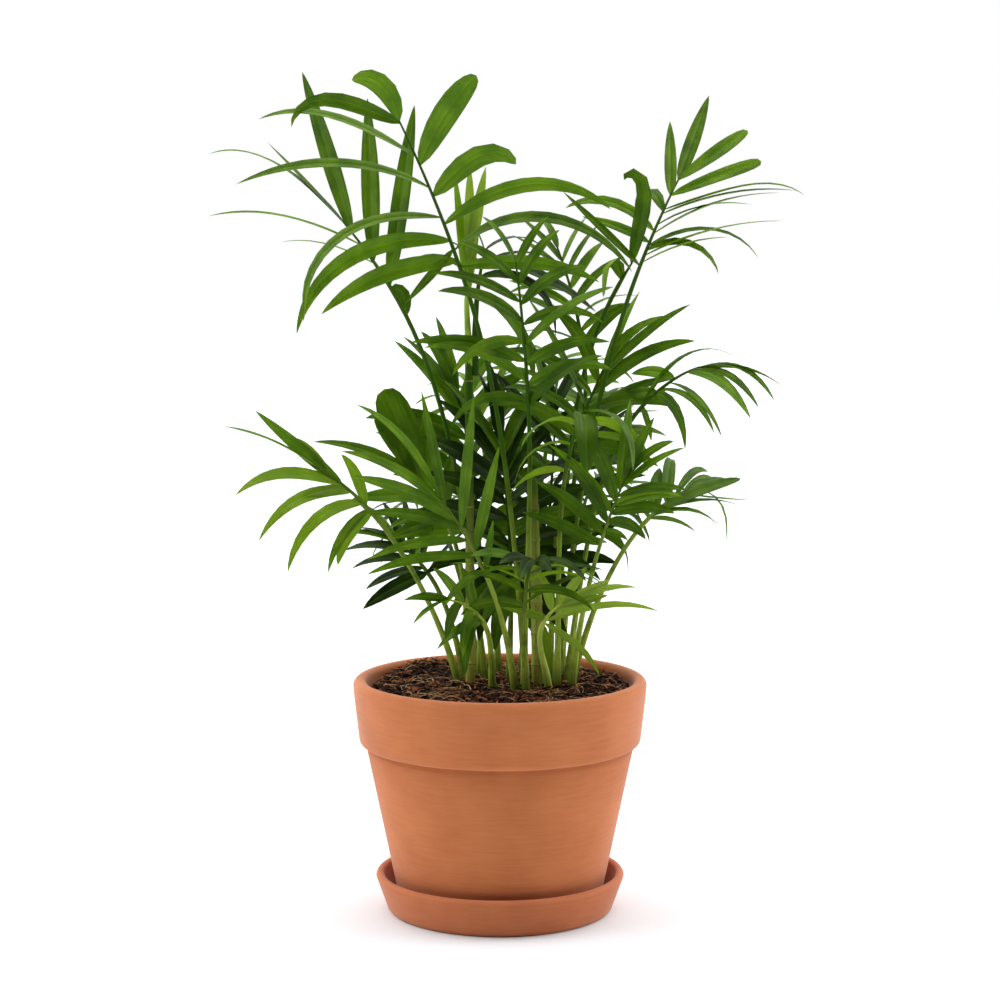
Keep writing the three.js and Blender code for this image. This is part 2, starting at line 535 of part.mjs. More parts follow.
function pot() {
  const { rimRadius, top, collarFoot, collarFootRadius, collarBevel, shoulder, bodyRadius } = POT;
  const { baseRadius, baseRounding, drainRadius } = POT;
  const lip = POT.wall / 2;
  return turned(
    "pot",
    [
      [drainRadius, POT_FOOT],
      ...arc(baseRadius - baseRounding, POT_FOOT + baseRounding, baseRounding, -90, -10, 2),
      [bodyRadius, shoulder],
      [collarFootRadius - collarBevel, collarFoot - 2 * collarBevel],
      [collarFootRadius, collarFoot],
      ...arc(rimRadius - lip, top - lip, lip, 0, 180, 6),
      ...POT_INSIDE.slice(0, -1).reverse(),
      [drainRadius, POT_FOOT + POT.floor],
      [drainRadius, POT_FOOT],
    ],
    CLAY,
  );
}

function compost() {
  const { level, flatRadius, edgeLevel } = COMPOST;
  const [wallTop] = POT_INSIDE.at(-1);
  const beside = POT_INSIDE.slice(0, -1).map(([r, z], i) => [r - CLEARANCE, i ? z : z + CLEARANCE]);
  return turned(
    "compost",
    [
      [0, POT_FOOT + POT.floor + CLEARANCE],
      ...beside,
      [wallTop - 2 * CLEARANCE, edgeLevel],
      [flatRadius, level],
      [0, level],
    ],
    EARTH,
  );
}

// ---------------------------------------------------------------- stems
// A ring of points about a centre, square to a direction; a flat ring lies level.
function ring(centre, direction, radius, sides) {
  const first = ACROSS.clone().cross(direction).normalize();
  const second = direction.clone().cross(first);
  return Array.from({ length: sides }, (_, i) => {
    const angle = (2 * Math.PI * i) / sides;
    return centre
      .clone()
      .addScaledVector(first, radius * Math.cos(angle))
      .addScaledVector(second, radius * Math.sin(angle));
  });
}

function cane({ name, foot, top, footRadius, topRadius }) {
  const low = vector([...foot, SOIL]);
  const high = vector(top);
  const rings = Array.from({ length: CANE_STEPS + 1 }, (_, i) => {
    const t = i / CANE_STEPS;
    return ring(low.clone().lerp(high, t), UP, lerp(footRadius, topRadius, t), CANE_SIDES);
  });
  return { name, solid: skinned(rings) };
}

// A frond's axis: a petiole that leaves the compost steeply, and a rachis that arches on from its neck.
function axisOf({ foot, footLevel = SOIL, neck, tip }) {
  const [a, b, c] = [vector([...foot, footLevel]), vector(neck), vector(tip)];
  const low = b.distanceTo(a);
  const high = c.distanceTo(b);
  const lean = b.clone().sub(a).normalize();
  const reach = c.clone().sub(b).normalize();
  const start = lean.clone().lerp(UP, STEM.upright).normalize();
  const middle = lean.clone().multiplyScalar(high).addScaledVector(reach, low).normalize();
  const end = reach.clone().multiplyScalar(2).sub(middle).normalize();
  const curve = (from, to, leave, arrive, length) =>
    new THREE.CubicBezierCurve3(
      from,
      from.clone().addScaledVector(leave, length / 3),
      to.clone().addScaledVector(arrive, -length / 3),
      to,
    );
  return { petiole: curve(a, b, start, middle, low), rachis: curve(b, c, middle, end, high) };
}

function stem({ petiole, rachis }) {
  const rings = [];
  for (let i = 0; i <= STEM.petioleSteps; i++) {
    const t = i / STEM.petioleSteps;
    const direction = i ? petiole.getTangent(t) : UP;
    rings.push(ring(petiole.getPoint(t), direction, lerp(STEM.foot, STEM.neck, t), STEM.sides));
  }
  for (let i = 1; i <= STEM.rachisSteps; i++) {
    const t = i / STEM.rachisSteps;
    rings.push(ring(rachis.getPoint(t), rachis.getTangent(t), lerp(STEM.neck, STEM.tip, t), STEM.sides));
  }
  return skinned(rings);
}

// ---------------------------------------------------------------- leaflets
// The leaflets of a frond: root, direction, the way across the blade, and sizes.
function leafletsOf(frond, rachis) {
  const spread = seeded(frond.seed);
  const towards = vector([Math.cos(radians(frond.face)), Math.sin(radians(frond.face)), frond.tilt]);
  const stray = (kind) => spread(STRAY[kind] * frond.loose);
  const leaflets = [];
  for (const [side, part] of [[1, frond.right], [-1, frond.left]]) {
    for (let i = 0; i < part.n; i++) {
      const g = part.n > 1 ? i / (part.n - 1) : 1;
      const u = along(part.span, g);
      const forward = rachis.getTangent(u);
      const up = towards.clone().addScaledVector(forward, -towards.dot(forward)).normalize();
      const outward = forward.clone().cross(up).multiplyScalar(side);
      const open = radians(along(part.open, g) + stray("open"));
      const lift = radians(frond.lift + stray("lift"));
      const length = along(part.size, g) * (1 + stray("length"));
      const added = length / (LEAFLET.fullWidthAt * Math.max(...part.size));
      const fullness = Math.min(1, LEAFLET.shortWidth + added);
      const width = frond.width * along(part.wide, g) * fullness * (1 + stray("width"));
      const droop = radians(along(part.droop, g) * (1 + stray("droop")));
      const twist = radians(stray("twist"));
      const roll = radians(-side * along(part.roll, g) + stray("roll"));
      const grown = { root: rachis.getPoint(u), forward, up, outward, open, lift, length, width, droop };
      leaflets.push({ ...grown, twist, roll, blunt: along(part.blunt, g), late: along(part.late, g) });
    }
  }
  return leaflets;
}

// Share of a leaflet's full width at t, from its root (0) to its tip (1).
function leafWidth(t, blunt) {
  const { rise } = LEAFLET;
  const fall = LEAFLET.fall - LEAFLET.blunting * blunt;
  const peak = rise / (rise + fall);
  const shape = (t ** rise * (1 - t) ** fall) / (peak ** rise * (1 - peak) ** fall);
  return Math.max(shape, LEAFLET.rootWidth * (1 - t));
}

// Share of a leaflet's keel at t: it swells from its root and thins towards its tip.
const keelShare = (t) => Math.min(0.4 + 2 * t, 1.2 - 0.5 * t);

// A leaflet's solid: a keeled blade that bends down towards its tip, lifted by `turn` more than it grew.
function leafletSolid(leaflet, turn) {
  const { root, forward, up, outward, open, lift, length, width, droop, twist, roll, blunt, late } = leaflet;
  const raised = lift + radians(turn);
  const away = outward.clone().multiplyScalar(Math.cos(raised)).addScaledVector(up, Math.sin(raised));
  const top = up.clone().multiplyScalar(Math.cos(raised)).addScaledVector(outward, -Math.sin(raised));
  const start = forward.clone().multiplyScalar(Math.cos(open)).addScaledVector(away, Math.sin(open));
  const across = top.cross(start).normalize().applyAxisAngle(start, roll);
  const hinge = start.clone().cross(DOWN).normalize();
  const most = Math.max(start.angleTo(DOWN) - LEAFLET.hanging, 0);
  const keel = Math.max(LEAFLET.thinnest, length * LEAFLET.thickness);

  const stations = LEAFLET.stations.map((t) => {
    const bend = Math.min(droop * t ** late, most);
    const direction = start.clone().applyAxisAngle(hinge, bend);
    const side = across.clone().applyAxisAngle(hinge, bend).applyAxisAngle(direction, twist * t);
    return { t, direction, side };
  });
  const centre = root.clone();
  const rings = stations.map(({ t, direction, side }, i) => {
    if (i) {
      const mean = direction.clone().add(stations[i - 1].direction).normalize();
      centre.addScaledVector(mean, length * (t - stations[i - 1].t));
    }
    if (t === 1) return [centre.clone()];
    const reach = (width / 2) * leafWidth(t, blunt);
    const under = side.clone().cross(direction).normalize();
    return [
      centre.clone().addScaledVector(side, -reach),
      centre.clone().addScaledVector(under, keel * keelShare(t)),
      centre.clone().addScaledVector(side, reach),
    ];
  });
  return skinned(rings);
}

// ---------------------------------------------------------------- the plant
// Grows each frond's leaflets clear of every other stem and leaflet, and joins them to their own stem.
function plant() {
  const canes = CANES.map(cane);
  const fronds = FRONDS.map((frond) => {
    const axis = axisOf(frond);
    return { frond, axis, solid: stem(axis), blades: [] };
  });
  const boxed = (solid, owner) => ({ solid, owner, box: solid.boundingBox() });
  const taken = [
    ...canes.map(({ solid }) => boxed(solid, null)),
    ...fronds.map((owner) => boxed(owner.solid, owner)),
  ];
  const near = (a, b) =>
    [0, 1, 2].every((k) => a.min[k] - CLEARANCE < b.max[k] && b.min[k] - CLEARANCE < a.max[k]);
  const clearOfOthers = (piece) =>
    taken.every(
      (other) =>
        other.owner === piece.owner ||
        !near(piece.box, other.box) ||
        piece.solid.minGap(other.solid, 2 * CLEARANCE) >= CLEARANCE,
    );
  const clearOfOwn = (piece) =>
    piece.owner.blades.every((blade) => piece.solid.intersect(blade).volume() < LEAFLET.rootOverlap);

  for (const owner of fronds) {
    for (const leaflet of leafletsOf(owner.frond, owner.axis.rachis)) {
      for (const turn of TURNS) {
        const piece = boxed(leafletSolid(leaflet, turn), owner);
        if (!clearOfOthers(piece) || !clearOfOwn(piece)) continue;
        owner.blades.push(piece.solid);
        taken.push(piece);
        break;
      }
    }
  }
  return [
    ...canes.map(({ name, solid }) => meshOf(name, solid, CANE_GREEN)),
    ...fronds.map(({ frond, solid, blades }) => {
      const whole = blades.reduce((joined, blade) => joined.add(blade), solid);
      return meshOf(frond.name, whole, LEAF_GREEN);
    }),
  ];
}

const palm = new THREE.Group();
palm.add(saucer(), pot(), compost(), ...plant());
export default palm;
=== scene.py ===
"""A parlour palm growing in a clay pot on its saucer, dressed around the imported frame.

Blender's lengths are metres. The plant's and the pot's own sizes are given in millimetres, as a grower or a
potter measures them, and MM turns them to metres. Angles are in degrees where nothing says radians. +Z is
up, and the front looks along -Y.
"""

import logging
import math
import random
from dataclasses import dataclass, field, replace
from enum import Enum
from functools import lru_cache
from typing import Any, Optional, Sequence

import bpy
import numpy as np
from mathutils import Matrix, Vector
from mathutils.noise import noise as smooth_noise


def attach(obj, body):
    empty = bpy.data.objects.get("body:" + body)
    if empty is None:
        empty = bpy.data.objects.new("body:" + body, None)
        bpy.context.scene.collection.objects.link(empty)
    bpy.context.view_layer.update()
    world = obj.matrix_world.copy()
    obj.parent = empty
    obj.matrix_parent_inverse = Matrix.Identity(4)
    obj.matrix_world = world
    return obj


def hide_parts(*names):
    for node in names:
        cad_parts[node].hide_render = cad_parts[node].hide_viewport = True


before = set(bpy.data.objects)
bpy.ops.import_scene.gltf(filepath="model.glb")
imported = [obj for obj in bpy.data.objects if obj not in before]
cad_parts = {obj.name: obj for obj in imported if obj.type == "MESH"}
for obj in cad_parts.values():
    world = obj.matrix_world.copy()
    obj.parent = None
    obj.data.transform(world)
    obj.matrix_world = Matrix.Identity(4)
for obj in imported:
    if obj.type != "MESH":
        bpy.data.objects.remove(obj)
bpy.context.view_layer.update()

MM = 0.001  # metres in a millimetre
BODY = "root"  # the only body of the frame
CLEARANCE = 0.3  # mm between two solids of the frame that meet
SOIL_LEVEL = 125 + CLEARANCE  # height of the frame's flat cut under each stem
UP = np.array([0.0, 0.0, 1.0])
DOWN = -UP
ACROSS = np.array([1.0, 0.0, 0.0])
ROUND = 2 * math.pi  # radians of a whole turn

Profile = list[tuple[float, float]]  # radius and height of each point of a section, in millimetres
Triple = tuple[float, float, float]
Row = tuple[float, ...]
log = logging.getLogger("palm")


# ---------------------------------------------------------------- shader nodes
MIX_FACTOR, MIX_A, MIX_B = 0, 6, 7  # inputs of a Mix node that is set to colours
AS_COLOURS = {"settings": {"data_type": "RGBA"}, "out": 2}  # what sets it so, and its output then

# Noise bunches around a half. A pattern spreads one of these bands of it from nothing to all.
WIDE_BAND = {"From Min": 0.3, "From Max": 0.7}
RING_BAND = {"From Min": 0.32, "From Max": 0.68}
MIDDLE_BAND = {"From Min": 0.35, "From Max": 0.65}
NARROW_BAND = {"From Min": 0.38, "From Max": 0.62}
LOAM_BAND = {"From Min": 0.38, "From Max": 0.66}
HIGH_BAND = {"From Min": 0.5, "From Max": 0.7}
PEAK_BAND = {"From Min": 0.62, "From Max": 0.78}


def linear(hex_colour: str) -> tuple[float, float, float, float]:
    """Turns an sRGB hex colour into the linear values that shaders take.

    Args:
        hex_colour: The colour as "#rrggbb".

    Returns:
        Red, green, blue and an alpha of 1.
    """
    shares = [int(hex_colour[i : i + 2], 16) / 255 for i in (1, 3, 5)]
    red, green, blue = [c / 12.92 if c <= 0.04045 else ((c + 0.055) / 1.055) ** 2.4 for c in shares]
    return red, green, blue, 1.0


def add_node(
    tree: bpy.types.NodeTree,
    kind: str,
    sockets: Optional[dict[str | int, Any]] = None,
    settings: Optional[dict[str, Any]] = None,
    out: str | int = 0,
) -> Optional[bpy.types.NodeSocket]:
    """Adds one shader node with its settings and links.

    Args:
        tree: The node tree of a material or a world.
        kind: Blender's name for the kind of node, after "ShaderNode".
        sockets: What each input takes, by name or index: an output to link from, a hex colour or a value.
        settings: The node's properties, such as an operation.
        out: The output to hand back, by name or index.

    Returns:
        That output, or None where the node has none.
    """
    node = tree.nodes.new("ShaderNode" + kind)
    for name, value in (settings or {}).items():
        setattr(node, name, value)
    for socket, value in (sockets or {}).items():
        if isinstance(value, bpy.types.NodeSocket):
            tree.links.new(value, node.inputs[socket])
        else:
            node.inputs[socket].default_value = linear(value) if isinstance(value, str) else value
    return node.outputs[out] if node.outputs else None


# ---------------------------------------------------------------- finishes
@dataclass(frozen=True)
class Finish:
    """What a piece is made of and how it is finished. Each kind adds its own nodes."""

    name: str

    def build(self) -> bpy.types.Material:
        """Builds the material.

        Returns:
            The material.
        """
        material = bpy.data.materials.new(self.name)
        material.use_nodes = True
        material.node_tree.nodes.clear()
        add_node(material.node_tree, "OutputMaterial", {"Surface": self.surface(material.node_tree)})
        return material

    def surface(self, tree: bpy.types.NodeTree) -> bpy.types.NodeSocket:
        """Adds the nodes of the surface.

        Args:
            tree: The material's node tree, empty so far.

        Returns:
            The shader's output.
        """
        raise NotImplementedError


@lru_cache(maxsize=None)
def finished(finish: Finish) -> bpy.types.Material:
    """Builds a finish the first time that it is asked for, and hands back the same material after."""
    return finish.build()


@dataclass(frozen=True)
class ThrownTerracotta(Finish):
    """Unglazed red clay, thrown on a wheel and fired.

    It is dull and dry to the eye, dusty where it turns away, a little paler where it was wiped, with faint
    level rings left by the potter's tool and a fine grit.
    """

    body: str
    deep: str
    pale: str
    ring_spacing: float = 1.0 * MM
    ring_length: float = 17 * MM  # how far round the wall a ring keeps its tone
    ring_depth: float = 0.07 * MM
    ring_share: float = 0.2  # how far a ring goes to the pale clay
    blot: float = 24 * MM  # width of the clouds that wiping and firing leave
    grit: float = 0.55 * MM  # real grit is under half of that, too fine to show
    grit_depth: float = 0.05 * MM
    speck_share: float = 0.35  # how far a speck goes to the deep clay
    roughness: float = 0.86
    shine: float = 1.4  # refractive index of fired clay
    dust: float = 0.2
    dust_roughness: float = 0.4

    def surface(self, tree: bpy.types.NodeTree) -> bpy.types.NodeSocket:
        """Adds the nodes of the surface.

        Args:
            tree: The material's node tree, empty so far.

        Returns:
            The shader's output.
        """
        place = add_node(tree, "TexCoord", out="Object")
        level = 1 / self.ring_length
        stretched = add_node(
            tree, "Mapping", {"Vector": place, "Scale": (level, level, 1 / self.ring_spacing)}
        )
        rings = add_node(tree, "TexNoise", {"Vector": stretched, "Scale": 1.0, "Detail": 3.0})
        ring_tone = add_node(tree, "MapRange", {"Value": rings, **RING_BAND, "To Max": self.ring_share})
        blots = add_node(tree, "TexNoise", {"Vector": place, "Scale": 1 / self.blot, "Detail": 3.0})
        blot_tone = add_node(tree, "MapRange", {"Value": blots, **WIDE_BAND})
        grit = add_node(tree, "TexNoise", {"Vector": place, "Scale": 1 / self.grit, "Detail": 2.0})
        specks = add_node(tree, "MapRange", {"Value": grit, **PEAK_BAND, "To Max": self.speck_share})
        colour = self.body
        for share, over in ((blot_tone, self.deep), (ring_tone, self.pale), (specks, self.deep)):
            colour = add_node(tree, "Mix", {MIX_FACTOR: share, MIX_A: colour, MIX_B: over}, **AS_COLOURS)
        ring_relief = add_node(tree, "Bump", {"Height": rings, "Distance": self.ring_depth})
        relief = add_node(
            tree, "Bump", {"Height": grit, "Distance": self.grit_depth, "Normal": ring_relief}
        )
        return add_node(
            tree,
            "BsdfPrincipled",
            {
                "Base Color": colour,
                "Roughness": self.roughness,
                "IOR": self.shine,
                "Sheen Weight": self.dust,
                "Sheen Roughness": self.dust_roughness,
                "Normal": relief,
            },
        )


@dataclass(frozen=True)
class PalmLeaf(Finish):
    """The skin of a palm leaflet: a thin wax over green flesh.

    It gives the eye a soft shine with a cool cast, fine veins and soft lighter patches along the blade, and
    a yellow-green glow where light comes through. A broad blade is painted darker towards its margins, as
    shade where they curl down away from the light.
    """

    upper: str
    shade: str
    glow: str
    through: float = 0.3
    roughness: float = 0.42
    shine: float = 1.28  # refractive index of the wax
    vein_spacing: float = 1.7 * MM  # the real veins are half as far apart, too fine to show
    vein_length: float = 70 * MM
    vein_depth: float = 0.2 * MM
    vein_share: float = 0.75  # how far a vein goes to the shade
    midrib: float = 0.5 * MM  # width of its pale line, which fades out over half as much on each side
    midrib_share: float = 0.14  # how far the midrib goes to the glow
    edge: float = 6 * MM  # how far from its midrib a broad leaflet is darkest, darkening over the last 3/4: painted shade of its margins
    margin_shade_share: float = 0.6  # how far that painted shade takes it to the shade colour there
    patch: float = 15 * MM
    under_roughness: float = 0.6

    def underside(self) -> "PalmLeaf":
        """Gives the leaflet's lower side: duller and paler."""
        return replace(
            self,
            name=self.name + "_underside",
            upper=self.glow,
            shade=self.upper,
            roughness=self.under_roughness,
        )

    def surface(self, tree: bpy.types.NodeTree) -> bpy.types.NodeSocket:
        """Adds the nodes of the surface. The UV map holds metres along the leaflet and across it.

        Args:
            tree: The material's node tree, empty so far.

        Returns:
            The shader's output.
        """
        place = add_node(tree, "TexCoord", out="Object")
        blade = add_node(tree, "UVMap", settings={"uv_map": "blade"})
        across = add_node(tree, "SeparateXYZ", {"Vector": blade}, out="Y")
        distance = add_node(tree, "Math", {0: across}, {"operation": "ABSOLUTE"})
        midrib = add_node(
            tree,
            "MapRange",
            {
                "Value": distance,
                "From Min": self.midrib / 2,
                "From Max": self.midrib,
                "To Min": self.midrib_share,
                "To Max": 0.0,
            },
        )
        drawn_out = add_node(
            tree,
            "Mapping",
            {"Vector": blade, "Scale": (1 / self.vein_length, 1 / self.vein_spacing, 1.0)},
        )
        veins = add_node(tree, "TexNoise", {"Vector": drawn_out, "Scale": 1.0, "Detail": 1.0})
        vein = add_node(tree, "MapRange", {"Value": veins, **MIDDLE_BAND, "To Max": self.vein_share})
        patches = add_node(tree, "TexNoise", {"Vector": place, "Scale": 1 / self.patch, "Detail": 2.0})
        flesh = add_node(tree, "MapRange", {"Value": patches, **NARROW_BAND})
        # painted shade: darker towards the margins of a broad blade
        edge = add_node(
            tree,
            "MapRange",
            {
                "Value": distance,
                "From Min": self.edge / 4,
                "From Max": self.edge,
                "To Max": self.margin_shade_share,
            },
        )
        colour = self.shade
        layers = ((flesh, self.upper), (edge, self.shade), (vein, self.shade), (midrib, self.glow))
        for share, over in layers:
            colour = add_node(tree, "Mix", {MIX_FACTOR: share, MIX_A: colour, MIX_B: over}, **AS_COLOURS)
        relief = add_node(tree, "Bump", {"Height": veins, "Distance": self.vein_depth})
        skin = add_node(
            tree,
            "BsdfPrincipled",
            {"Base Color": colour, "Roughness": self.roughness, "IOR": self.shine, "Normal": relief},
        )
        lit = add_node(tree, "BsdfTranslucent", {"Color": self.glow, "Normal": relief})
        return add_node(tree, "MixShader", {0: self.through, 1: skin, 2: lit})


@dataclass(frozen=True)
class GreenStalk(Finish):
    """A palm's leaf stalk: smooth, firm and faintly grooved, pale near the soil and darker green above,
    partly as painted shade under the fronds.
    """

    foot: str
    top: str
    stain: str
    foot_level: float = 135 * MM  # height up to which it is all pale
    top_level: float = 260 * MM  # and from which it is all dark: partly its own darker green, partly painted shade of the fronds above
    groove: float = 0.8 * MM
    groove_length: float = 30 * MM
    groove_depth: float = 0.12 * MM
    groove_share: float = 0.45  # how far a groove goes to the upper green
    blot: float = 9 * MM
    blot_share: float = 0.6  # how far a blot goes to the stain
    foot_darkening_height: float = 13 * MM  # height above the soil over which it darkens towards its foot
    foot_darkening_share: float = 0.7  # how far its foot goes to the stain
    roughness: float = 0.42
    shine: float = 1.12  # refractive index, low because its wax is dull

    def surface(self, tree: bpy.types.NodeTree) -> bpy.types.NodeSocket:
        """Adds the nodes of the surface. The UV map holds metres along the stalk and round it.

        Args:
            tree: The material's node tree, empty so far.

        Returns:
            The shader's output.
        """
        place = add_node(tree, "TexCoord", out="Object")
        height = add_node(tree, "SeparateXYZ", {"Vector": place}, out="Z")
        # darker with height: partly painted shade under the fronds
        climb_into_shade = add_node(
            tree, "MapRange", {"Value": height, "From Min": self.foot_level, "From Max": self.top_level}
        )
        surface_place = add_node(tree, "UVMap", settings={"uv_map": "blade"})
        drawn_out = add_node(
            tree,
            "Mapping",
            {"Vector": surface_place, "Scale": (1 / self.groove_length, 1 / self.groove, 1.0)},
        )
        grooves = add_node(tree, "TexNoise", {"Vector": drawn_out, "Scale": 1.0, "Detail": 3.0})
        groove = add_node(tree, "MapRange", {"Value": grooves, **MIDDLE_BAND, "To Max": self.groove_share})
        blots = add_node(tree, "TexNoise", {"Vector": place, "Scale": 1 / self.blot, "Detail": 4.0})
        blot = add_node(tree, "MapRange", {"Value": blots, **HIGH_BAND, "To Max": self.blot_share})
        # darker towards its foot, where it meets the soil
        foot_darkening = add_node(
            tree,
            "MapRange",
            {
                "Value": height,
                "From Min": SOIL_LEVEL * MM,
                "From Max": SOIL_LEVEL * MM + self.foot_darkening_height,
                "To Min": self.foot_darkening_share,
                "To Max": 0.0,
            },
        )
        colour = self.foot
        for share, over in ((climb_into_shade, self.top), (groove, self.top), (blot, self.stain), (foot_darkening, self.stain)):
            colour = add_node(tree, "Mix", {MIX_FACTOR: share, MIX_A: colour, MIX_B: over}, **AS_COLOURS)
        relief = add_node(tree, "Bump", {"Height": grooves, "Distance": self.groove_depth})
        return add_node(
            tree,
            "BsdfPrincipled",
            {"Base Color": colour, "Roughness": self.roughness, "IOR": self.shine, "Normal": relief},
        )


@dataclass(frozen=True)
class BarkCompost(Finish):
    """Composted bark and fibre: damp, so it is dark, and its flat scraps catch a little light."""

    dark: str
    light: str
    blot: float = 3 * MM
    blot_depth: float = 0.5 * MM
    roughness: float = 0.7
    shine: float = 1.2  # refractive index, low because the scraps are fibrous

    def surface(self, tree: bpy.types.NodeTree) -> bpy.types.NodeSocket:
        """Adds the nodes of the surface.

        Args:
            tree: The material's node tree, empty so far.

        Returns:
            The shader's output.
        """
        place = add_node(tree, "TexCoord", out="Object")
        blots = add_node(tree, "TexNoise", {"Vector": place, "Scale": 1 / self.blot, "Detail": 5.0})
        tone = add_node(tree, "MapRange", {"Value": blots, **LOAM_BAND})
        colour = add_node(tree, "Mix", {MIX_FACTOR: tone, MIX_A: self.dark, MIX_B: self.light}, **AS_COLOURS)
        relief = add_node(tree, "Bump", {"Height": blots, "Distance": self.blot_depth})
        return add_node(
            tree,
            "BsdfPrincipled",
            {"Base Color": colour, "Roughness": self.roughness, "IOR": self.shine, "Normal": relief},
        )


@dataclass(frozen=True)
class MattPaper(Finish):
    """Seamless white studio paper: even, with no shine."""

    white: str = "#e6e9ec"

    def surface(self, tree: bpy.types.NodeTree) -> bpy.types.NodeSocket:
        """Adds the nodes of the surface.

        Args:
            tree: The material's node tree, empty so far.

        Returns:
            The shader's output.
        """
        return add_node(tree, "BsdfDiffuse", {"Color": self.white})


class Tone(Enum):
    """The greens of a leaf, from the shaded heart of the clump to its youngest growth."""

    # Which frond has which tone follows partly its own age and partly the light it gets. The deepest tone
    # goes to fronds in the heart of the clump and low at the back, where shade falls, and is made duller and
    # less translucent for it: painted shade over the leaf's own green. The brighter tones are partly painted
    # light.
    DEEP_SHADED = PalmLeaf("leaf_deep_shaded", "#33500a", "#122301", "#5c7c08", 0.14, shine=1.2)
    MID = PalmLeaf("leaf_mid", "#678a10", "#365404", "#89ac10", 0.34, shine=1.24)
    FRESH = PalmLeaf("leaf_fresh", "#7a9c18", "#456705", "#9abb1a", 0.38)
    BRIGHT = PalmLeaf("leaf_bright", "#8da82e", "#678414", "#acc834", 0.4)
    PALE = PalmLeaf("leaf_pale", "#a2b64c", "#809c34", "#bcd252", 0.44)


NEXT_TONE = {  # the tone that some leaflets of a frond have in place of its own
    Tone.DEEP_SHADED: Tone.MID,
    Tone.MID: Tone.FRESH,
    Tone.FRESH: Tone.MID,
    Tone.BRIGHT: Tone.FRESH,
    Tone.PALE: Tone.BRIGHT,
}
POT_CLAY = ThrownTerracotta("thrown_terracotta", "#be6e3e", "#b26436", "#cb885b")
SAUCER_CLAY = ThrownTerracotta("thrown_terracotta_saucer", "#bb6b40", "#ae6037", "#c88157")
# the stalk of the deepest-toned fronds: darker, and dark from lower up, as painted shade in the heart of the
# clump
SHADED_STALK = GreenStalk("leaf_stalk_shaded", "#98ac40", "#27420a", "#35400a", top_level=195 * MM)
OLD_STALK = GreenStalk("leaf_stalk", "#a9bb4a", "#31500b", "#3c4a0c", top_level=255 * MM)
YOUNG_STALK = GreenStalk("leaf_stalk_young", "#b3c05a", "#86a238", "#5b6f24")
CANE_SKIN = GreenStalk("ringed_cane", "#a9ad50", "#2b480c", "#6b6428", top_level=240 * MM, groove=1.4 * MM)
SCAR = BarkCompost("ring_scar", "#66602c", "#8a8248", roughness=0.8)
SOIL = BarkCompost("damp_compost", "#0e0602", "#26150a")
DARK_BARK = BarkCompost("dark_bark", "#170b04", "#432411")
BROWN_BARK = BarkCompost("brown_bark", "#52301a", "#905a36")
RED_BARK = BarkCompost("red_bark", "#7a4424", "#b07044")
COIR = BarkCompost("coir_fibre", "#8d6a48", "#c0a07a", roughness=0.75)
PAPER = MattPaper("studio_paper")


